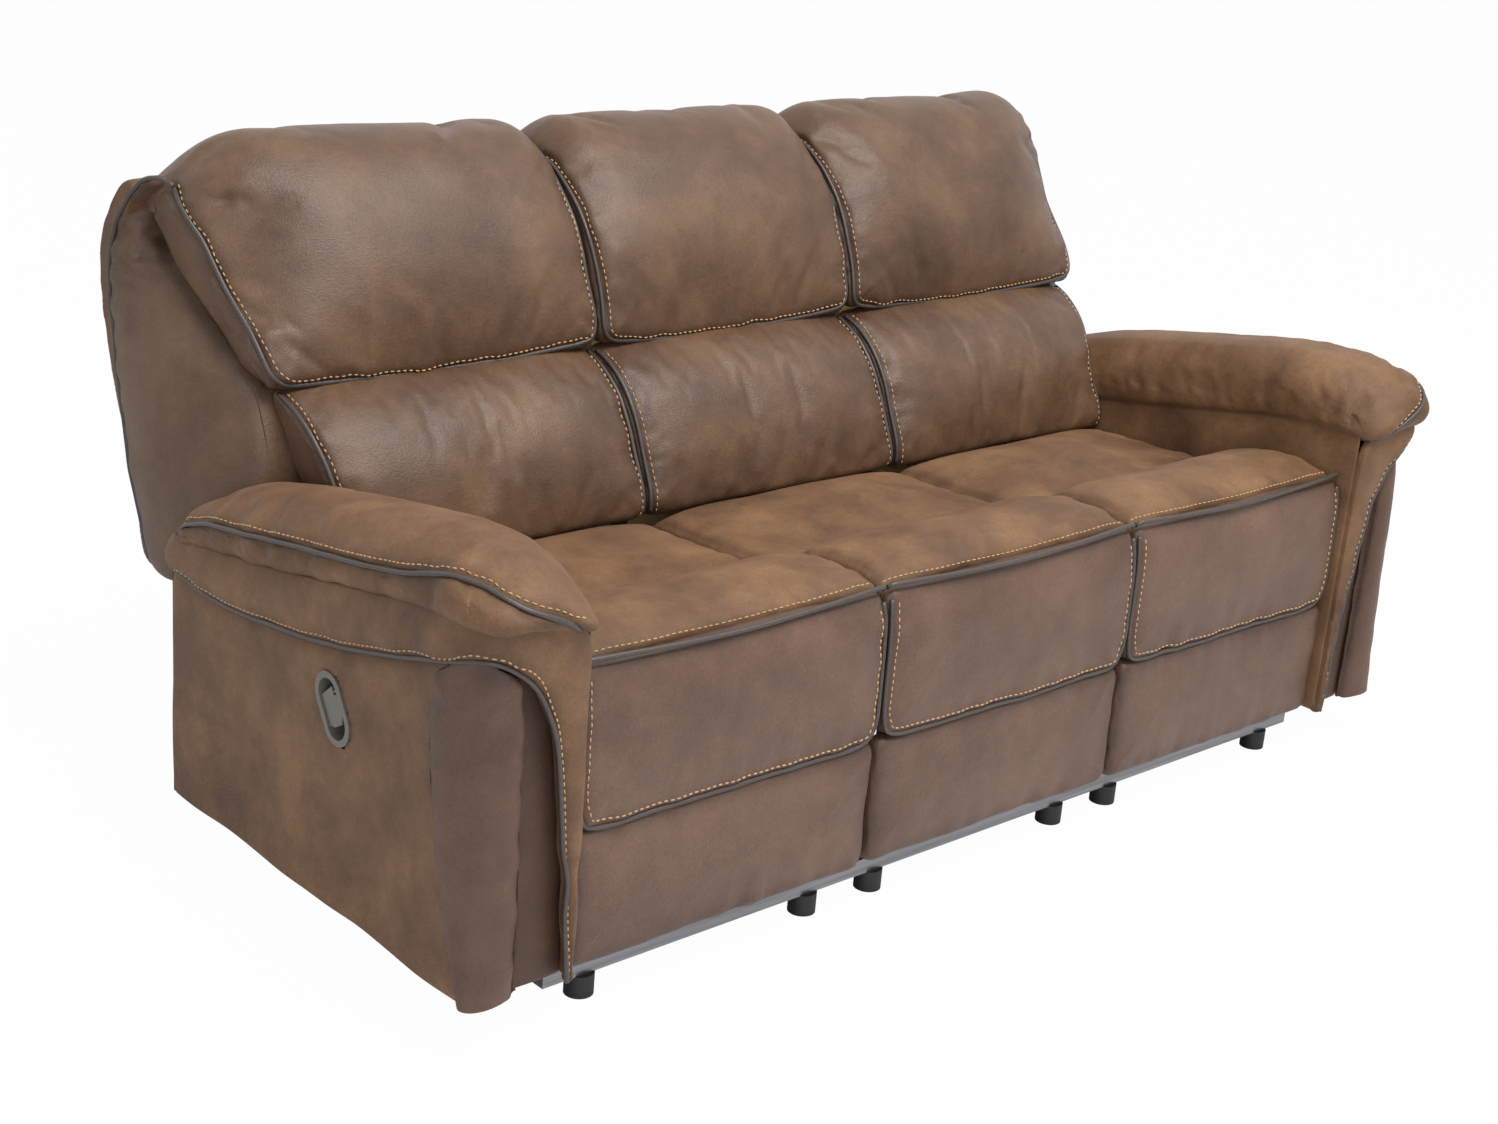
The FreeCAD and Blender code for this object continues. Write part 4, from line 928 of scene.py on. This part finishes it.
cheekOutline = [
    (112, 372, 10), (112, 452, 20), (220, 640, 30), (262, 712, 20), (330, 800, 30), (400, 925, 20), (470, 938, 14),
    (516, 850, 40), (400, 376, 10),
]
cheek = {"edge": 3.0, "step": 14.0}
cheekEdges = {"middle_left": (-265, -272), "middle_right": (265, 272), "left": (-285, -278), "right": (285, 278)}


def makeCheek(name):
    # the thin cloth side between a back's cushions and its outer back
    inner, outer = cheekEdges[name]
    cloth = loftPad(f"back_cheek_{name}", cheekOutline, inner, outer, cheek["edge"], step=cheek["step"])
    rim = [(outer, y, z) for y, z in roundedOutline(cheekOutline, 8)]
    coverPad(cloth, [rim], "suedeBack", bodyOf("back", name.split("_")[0]), [])


for name in seatCentres:
    makeHead(name)
    makeLumbar(name)
    makeOuterBack(name)
for name in cheekEdges:
    makeCheek(name)
for side in sides:
    makeWing(side)
report("backs made")


armPad = {"inner": 817.0, "outer": 999.0, "middle": 908.0, "edge": 30.0, "rise": 7.0, "cap": 12.0,
          "reach": 60.0, "settled": {"left": 36.0, "right": 10.0},
          "sewing": {"depth": 4.0, "width": 9, "gather": 2.4, "pitch": 36, "fade": 50, "wave": 1.6}}
armPadOutline = [
    (258, 474, 24), (0, 516, 60), (-345, 578, 60), (-440, 584, 40), (-508, 586, 20), (-534, 606, 22), (-540, 640, 30),
    (-512, 676, 50), (-430, 692, 60), (-330, 690, 80), (0, 630, 80), (150, 596, 60), (240, 556, 50), (262, 520, 30),
]
armPadCord = [  # the left arm's
    (-1000, 258, 508), (-1002, 215, 524), (-1002, 71, 548), (-1002, -83, 575), (-1002, -227, 598), (-1001, -338, 620),
    (-998, -402, 642), (-990, -453, 661), (-976, -500, 656), (-954, -530, 640), (-920, -540, 618), (-885, -536, 596),
    (-858, -520, 580), (-838, -490, 572),
]
armPadFolds = [
    [(-985, -180, 640), (-930, -230, 662), (-880, -290, 670)],
    [(-990, -230, 645), (-940, -280, 670), (-890, -330, 678)],
    [(-992, -290, 650), (-950, -330, 675), (-900, -380, 680)],
    [(-995, -350, 655), (-960, -390, 680), (-910, -430, 684)],
    [(-985, -420, 660), (-960, -450, 675), (-930, -480, 672)],
    [(-960, -500, 660), (-930, -505, 668), (-900, -500, 668)],
]


def makeArmPad(side):
    sign, middle = sides[side], armPad["middle"]

    def shape(points):
        x, y, z = np.abs(points[:, 0]), points[:, 1].copy(), points[:, 2].copy()
        # rounded in plan at the nose
        pinch = 1 - 0.2 * np.clip((-y - 455) / 75, 0, 1) ** 2
        # the loaf: its top narrows, and falls a little towards the seat
        low = np.interp(-y, [-262, 0, 345, 503], [472, 514, 577, 592])
        top = np.interp(-y, [-262, -150, 0, 330, 430, 530], [520, 590, 622, 684, 690, 660])
        rise = np.clip((z - low) / np.maximum(top - low, 30), 0, 1)
        points[:, 0] = sign * (middle + (x - middle) * pinch * (1 - 0.10 * rise ** 3))
        inner = np.clip((middle - x) / 90, 0, 1)
        points[:, 2] -= 16 * inner ** 2 * rise + armPad["settled"][side] * rise
        # the nose droops beside the seat
        points[:, 2] -= 20 * np.clip((-y - 400) / 110, 0, 1) * np.clip((middle + 30 - x) / 120, 0, 1)
        return points
    pad = loftPad(f"arm_top_{side}", armPadOutline, sign * armPad["inner"], sign * armPad["outer"], armPad["edge"],
                  shape=shape)
    line, facing = onSurface(treeOf(pad), smoothLine(mirrored(side, armPadCord), 6))
    swell(pad, [line], armPad["rise"], armPad["reach"])
    blowUp(pad, [line], armPad["cap"],
           lambda p: p[:, 2] < np.interp(-p[:, 1], [-262, 0, 345, 503], [478, 520, 583, 598]))
    sewIn(pad, [line], 91 + sign, **armPad["sewing"])
    fold(pad, [mirrored(side, crease) for crease in armPadFolds], 3.4, 8)
    coverPad(pad, [line], "suedeArm", "root", [f"arm_pad_{side}"])
    trim(f"arm_top_{side}", pad, "root", [line], [smoothLine([(x - sign * 3, y + 2, z + 11) for x, y, z in line], 8)])


rollPad = {"bulge": 12.0, "depth": 12.0, "stitchesIn": 11.0,
           "sewing": {"depth": 1.5, "width": 7, "gather": 2.2, "pitch": 30, "wave": 1.6}}
rollPairs = [  # upper edge and piping edge, at the left arm
    ((-986, 262, 484), (-990, 262, 436)), ((-988, 120, 502), (-994, 120, 431)), ((-988, 12, 518), (-995, 4, 440)),
    ((-988, -170, 550), (-995, -171, 468)), ((-988, -322, 579), (-995, -332, 508)),
    ((-986, -430, 600), (-994, -425, 536)), ((-968, -494, 606), (-982, -492, 556)),
    ((-925, -509, 606), (-952, -507, 546)), ((-872, -510, 596), (-912, -508, 510)),
    ((-836, -509, 560), (-884, -508, 450)), ((-829, -507, 480), (-868, -507, 372)),
    ((-829, -506, 380), (-857, -506, 280)), ((-829, -506, 230), (-848, -506, 180)),
    ((-829, -506, 76), (-838, -506, 76)),
]
rollFacing = [(-1, 0, 0)] * 5 + [(-1, -0.25, 0), (-0.7, -0.8, 0), (-0.2, -1, 0), (0, -0.8, 0), (0, -0.6, 0)]
rollFacing += [(0, -0.4, 0)] * 4


def makeRoll(side):
    pairs = mirroredPairs(side, rollPairs)
    roll = stripPad(f"arm_roll_{side}", pairs, rollPad["bulge"], mirrored(side, rollFacing), depth=rollPad["depth"])
    line = smoothLine([b for a, b in pairs], 6)
    sewIn(roll, [line], 101 - sides[side], **rollPad["sewing"])
    coverPad(roll, [line], "suedeArm", "root", [f"arm_band_{side}"])
    row = []
    for a, b in (np.array(pair) for pair in pairs):
        row.append(tuple(b + (a - b) * min(0.45, rollPad["stitchesIn"] / np.linalg.norm(a - b))))
    trim(f"arm_roll_{side}", roll, "root", [line], [smoothLine(row, 8)])


cupHole = {"y": -173.0, "z": 374.0, "tilt": 31.0, "straight": 21.0, "radius": 27.0, "flat": 48.0, "face": 988.2}


def clearCup(panel, sign):
    # the cloth lies flat round the cup and is cut out under its rim
    points = pointsOf(panel)
    tilt = math.radians(cupHole["tilt"])
    across, high = points[:, 1] - cupHole["y"], points[:, 2] - cupHole["z"]
    along = high * math.cos(tilt) + across * math.sin(tilt)
    aside = across * math.cos(tilt) - high * math.sin(tilt)
    oval = np.hypot(np.maximum(np.abs(along) - cupHole["straight"], 0), aside)
    flat = np.clip((cupHole["flat"] - oval) / 16, 0, 1)
    face = points[:, 0] * (1 - flat) + cupHole["face"] * sign * flat
    points[:, 0] = np.where(np.abs(points[:, 0]) > 982, face, points[:, 0])
    placePoints(panel, points)
    selectOnly(panel)
    bpy.ops.object.mode_set(mode="EDIT")
    bpy.ops.mesh.select_all(action="DESELECT")
    bpy.ops.object.mode_set(mode="OBJECT")
    for i in np.nonzero(oval < cupHole["radius"])[0]:
        panel.data.vertices[int(i)].select = True
    bpy.ops.object.mode_set(mode="EDIT")
    bpy.ops.mesh.delete(type="VERT")
    bpy.ops.mesh.select_all(action="DESELECT")
    bpy.ops.object.mode_set(mode="OBJECT")
    panel.select_set(False)


sidePanel = {"face": -984.0, "floor": 76.0, "bulge": 5.0, "depth": 8.0,
             "sewing": {"depth": 1.0, "width": 14, "gather": 1.0, "wave": 2.0}}
sideTops = [(b[1], b[1], b[2] - 3) for a, b in rollPairs[:5]] + [(-380, -410, 524), (-424, -474, 542)]


def makeArmSide(side):
    face, sign = sidePanel["face"], sides[side]
    pairs = mirroredPairs(side, [((face, y, z), (face, low, sidePanel["floor"])) for y, low, z in sideTops])
    panel = stripPad(f"arm_side_{side}", pairs, sidePanel["bulge"], [(sign, 0, 0)] * len(pairs), step=12, power=0.35,
                     depth=sidePanel["depth"])
    rim = smoothLine([a for a, b in pairs], 8)
    sewIn(panel, [rim], 111 - sign, **sidePanel["sewing"])
    clearCup(panel, sign)
    coverPad(panel, [rim], "suedeArm", "root", [f"arm_side_panel_{side}"])


frontPad = {"bulge": 42.0, "depth": 6.0, "power": 0.42, "recessBulge": 4.0,
            "sewing": {"depth": 7.0, "width": 7, "gather": 1.6, "wave": 1.0}}
frontPairs = [
    ((-984, -428, 532), (-955, -484, 536)), ((-988, -398, 505), (-928, -492, 520)),
    ((-990, -392, 440), (-916, -492, 470)), ((-991, -404, 336), (-914, -492, 336)),
    ((-990, -432, 208), (-913, -492, 208)), ((-988, -474, 77), (-913, -492, 77)),
]
frontFacing = [(-0.35, -0.35, 0.4), (-0.5, -0.7, 0.2), (-0.7, -0.95, 0), (-0.74, -0.95, 0), (-0.78, -0.86, 0),
               (-0.72, -0.6, 0)]
recessPairs = [((-960, -481, 552), (-890, -481, 552)), ((-930, -481, 480), (-856, -481, 480)),
               ((-924, -481, 280), (-838, -481, 280)), ((-922, -481, 77), (-832, -481, 77))]


def makeFrontPad(side):
    pairs = mirroredPairs(side, frontPairs)
    pad = stripPad(f"arm_front_{side}", pairs, frontPad["bulge"], mirrored(side, frontFacing), step=6,
                   depth=frontPad["depth"], power=frontPad["power"])
    rim = [smoothLine(line, 8) for line in zip(*pairs)]
    sewIn(pad, rim, 121 - sides[side], **frontPad["sewing"])
    coverPad(pad, rim, "suedeBolster", "root", [f"arm_front_pad_{side}"])
    strip = mirroredPairs(side, recessPairs)
    recess = stripPad(f"arm_recess_{side}", strip, frontPad["recessBulge"], [(0, -1, 0)] * len(strip), depth=10)
    subdivide(recess)
    # the recess strip takes the darkest suede: painted shade in the recess beside the front pad
    coverPad(recess, [[a for a, b in strip]], "suedeRecess", "root", [])


lining = {"inside": -828.0, "outside": -986.0, "rear": 262.0, "floor": 76.0, "insideBulge": 2.5, "rearBulge": 5.0}
insideTops = [(261, 480), (120, 500), (0, 522), (-170, 555), (-345, 588), (-470, 604), (-500, 590)]  # y, z


def makeArmInside(side):
    # the cloth on the arm's inner face, beside the seat
    x = lining["inside"]
    pairs = mirroredPairs(side, [((x, y, z), (x, y, lining["floor"])) for y, z in insideTops])
    inside = stripPad(f"arm_inside_{side}", pairs, lining["insideBulge"], [(-sides[side], 0, 0)] * len(pairs), depth=1,
                      step=14, power=0.3)
    subdivide(inside)
    coverPad(inside, [smoothLine([a for a, b in pairs], 8)], "suedeArm", "root", [])


rearHeights = (76, 200, 330, 430, 484)


def makeArmRear(side):
    y = lining["rear"]
    pairs = mirroredPairs(side, [((lining["outside"], y, z), (lining["inside"] - 2, y, z)) for z in rearHeights])
    rear = stripPad(f"arm_rear_{side}", pairs, lining["rearBulge"], [(0, 1, 0)] * len(pairs), depth=1, step=12,
                    power=0.35)
    subdivide(rear)
    coverPad(rear, [smoothLine(line, 8) for line in zip(*pairs)], "suedeArm", "root", [])


for side in sides:
    makeArmRear(side)
    makeArmInside(side)
    makeArmPad(side)
    makeRoll(side)
    makeArmSide(side)
    makeFrontPad(side)
report("arms made")


view = {"place": (-2.491022, -2.537322, 1.607115), "azimuth": -43.304, "elevation": 19.627, "roll": 4.764,
        "lens": 54.995}
cameraData = bpy.data.cameras.new("view")
camera = bpy.data.objects.new("view", cameraData)
bpy.context.scene.collection.objects.link(camera)
cameraData.lens = view["lens"]
cameraData.sensor_width = 36
azimuth, elevation, roll = (math.radians(view[key]) for key in ("azimuth", "elevation", "roll"))
level = math.cos(elevation)
back = Vector((math.sin(azimuth) * level, -math.cos(azimuth) * level, math.sin(elevation)))
right = Vector((0, 0, 1)).cross(back).normalized()
up = back.cross(right)
turned = right * math.cos(roll) + up * math.sin(roll)
upright = up * math.cos(roll) - right * math.sin(roll)
facing = Matrix((turned, upright, back)).transposed().to_4x4()
camera.matrix_world = Matrix.Translation(Vector(view["place"])) @ facing
bpy.context.scene.camera = camera


def showWhite(nodes, lit, output, seenBy, share=None):
    # rays of the kinds in seenBy see white, or a share of it, and all others see the lit surface
    path = nodes.new("ShaderNodeLightPath")
    seen = (path, seenBy[0])
    for kind in seenBy[1:]:
        either = placed(nodes, "ShaderNodeMath", operation="MAXIMUM")
        wire(*seen, either, 0)
        wire(path, kind, either, 1)
        seen = (either, 0)
    if share is not None:
        part = placed(nodes, "ShaderNodeMath", operation="MULTIPLY")
        part.inputs[1].default_value = share
        wire(*seen, part, 0)
        seen = (part, 0)
    mix = nodes.new("ShaderNodeMixShader")
    wire(*seen, mix, 0)
    wire(lit, 0, mix, 1)
    wire(placed(nodes, "ShaderNodeEmission", Strength=1.0), 0, mix, 2)
    wire(mix, 0, output, "Surface")


lighting = {"world": 0.42, "key": 165.0, "fill": 34.0, "rim": 8.0, "floorWhite": 0.98, "floor": 0.86}
world = bpy.data.worlds.new("studio")
bpy.context.scene.world = world
world.use_nodes = True
ambient = world.node_tree.nodes["Background"]
setInputs(ambient, {"Color": (0.94, 0.96, 1.0, 1), "Strength": lighting["world"]})
showWhite(world.node_tree.nodes, ambient, world.node_tree.nodes["World Output"],
          ("Is Camera Ray", "Is Glossy Ray", "Is Transmission Ray"))


def areaLight(name, place, target, size, power, tint):
    lamp = bpy.data.lights.new(name, "AREA")
    lamp.shape = "RECTANGLE"
    lamp.size, lamp.size_y = size
    lamp.energy = power
    lamp.color = tint
    holder = bpy.data.objects.new(name, lamp)
    holder.location = place
    holder.rotation_euler = (Vector(target) - Vector(place)).to_track_quat("-Z", "Y").to_euler()
    bpy.context.scene.collection.objects.link(holder)


areaLight("keyLight", (0.1, -1.9, 3.9), (0, 0, 0.4), (2.8, 1.8), lighting["key"], (1.0, 0.98, 0.95))
areaLight("fillLight", (-2.6, -3.4, 1.5), (0, 0, 0.5), (2.6, 1.6), lighting["fill"], (0.9, 0.93, 1.0))
areaLight("rimLight", (-3.2, 1.8, 2.2), (0, 0, 0.6), (1.8, 1.8), lighting["rim"], (1.0, 0.98, 0.95))

bpy.ops.mesh.primitive_plane_add(size=60, location=(0, 0, 0))
floor = bpy.context.active_object
floor.name = "floor"
floorNodes, floorShader = makeMaterial("paleFloor")
setInputs(floorShader, {"Base Color": (*[lighting["floor"]] * 3, 1), "Roughness": 0.9, "Specular IOR Level": 0.1})
showWhite(floorNodes, floorShader, floorNodes["Material Output"], ("Is Camera Ray",), lighting["floorWhite"])
floor.data.materials.append(finishOf["paleFloor"])
floor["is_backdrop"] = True
bpy.ops.object.select_all(action="DESELECT")

bpy.context.scene.view_settings.view_transform = "Standard"
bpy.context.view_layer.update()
report(f"{sum(len(f.vertices) - 2 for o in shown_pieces() if o.type == 'MESH' for f in o.data.polygons)} triangles")
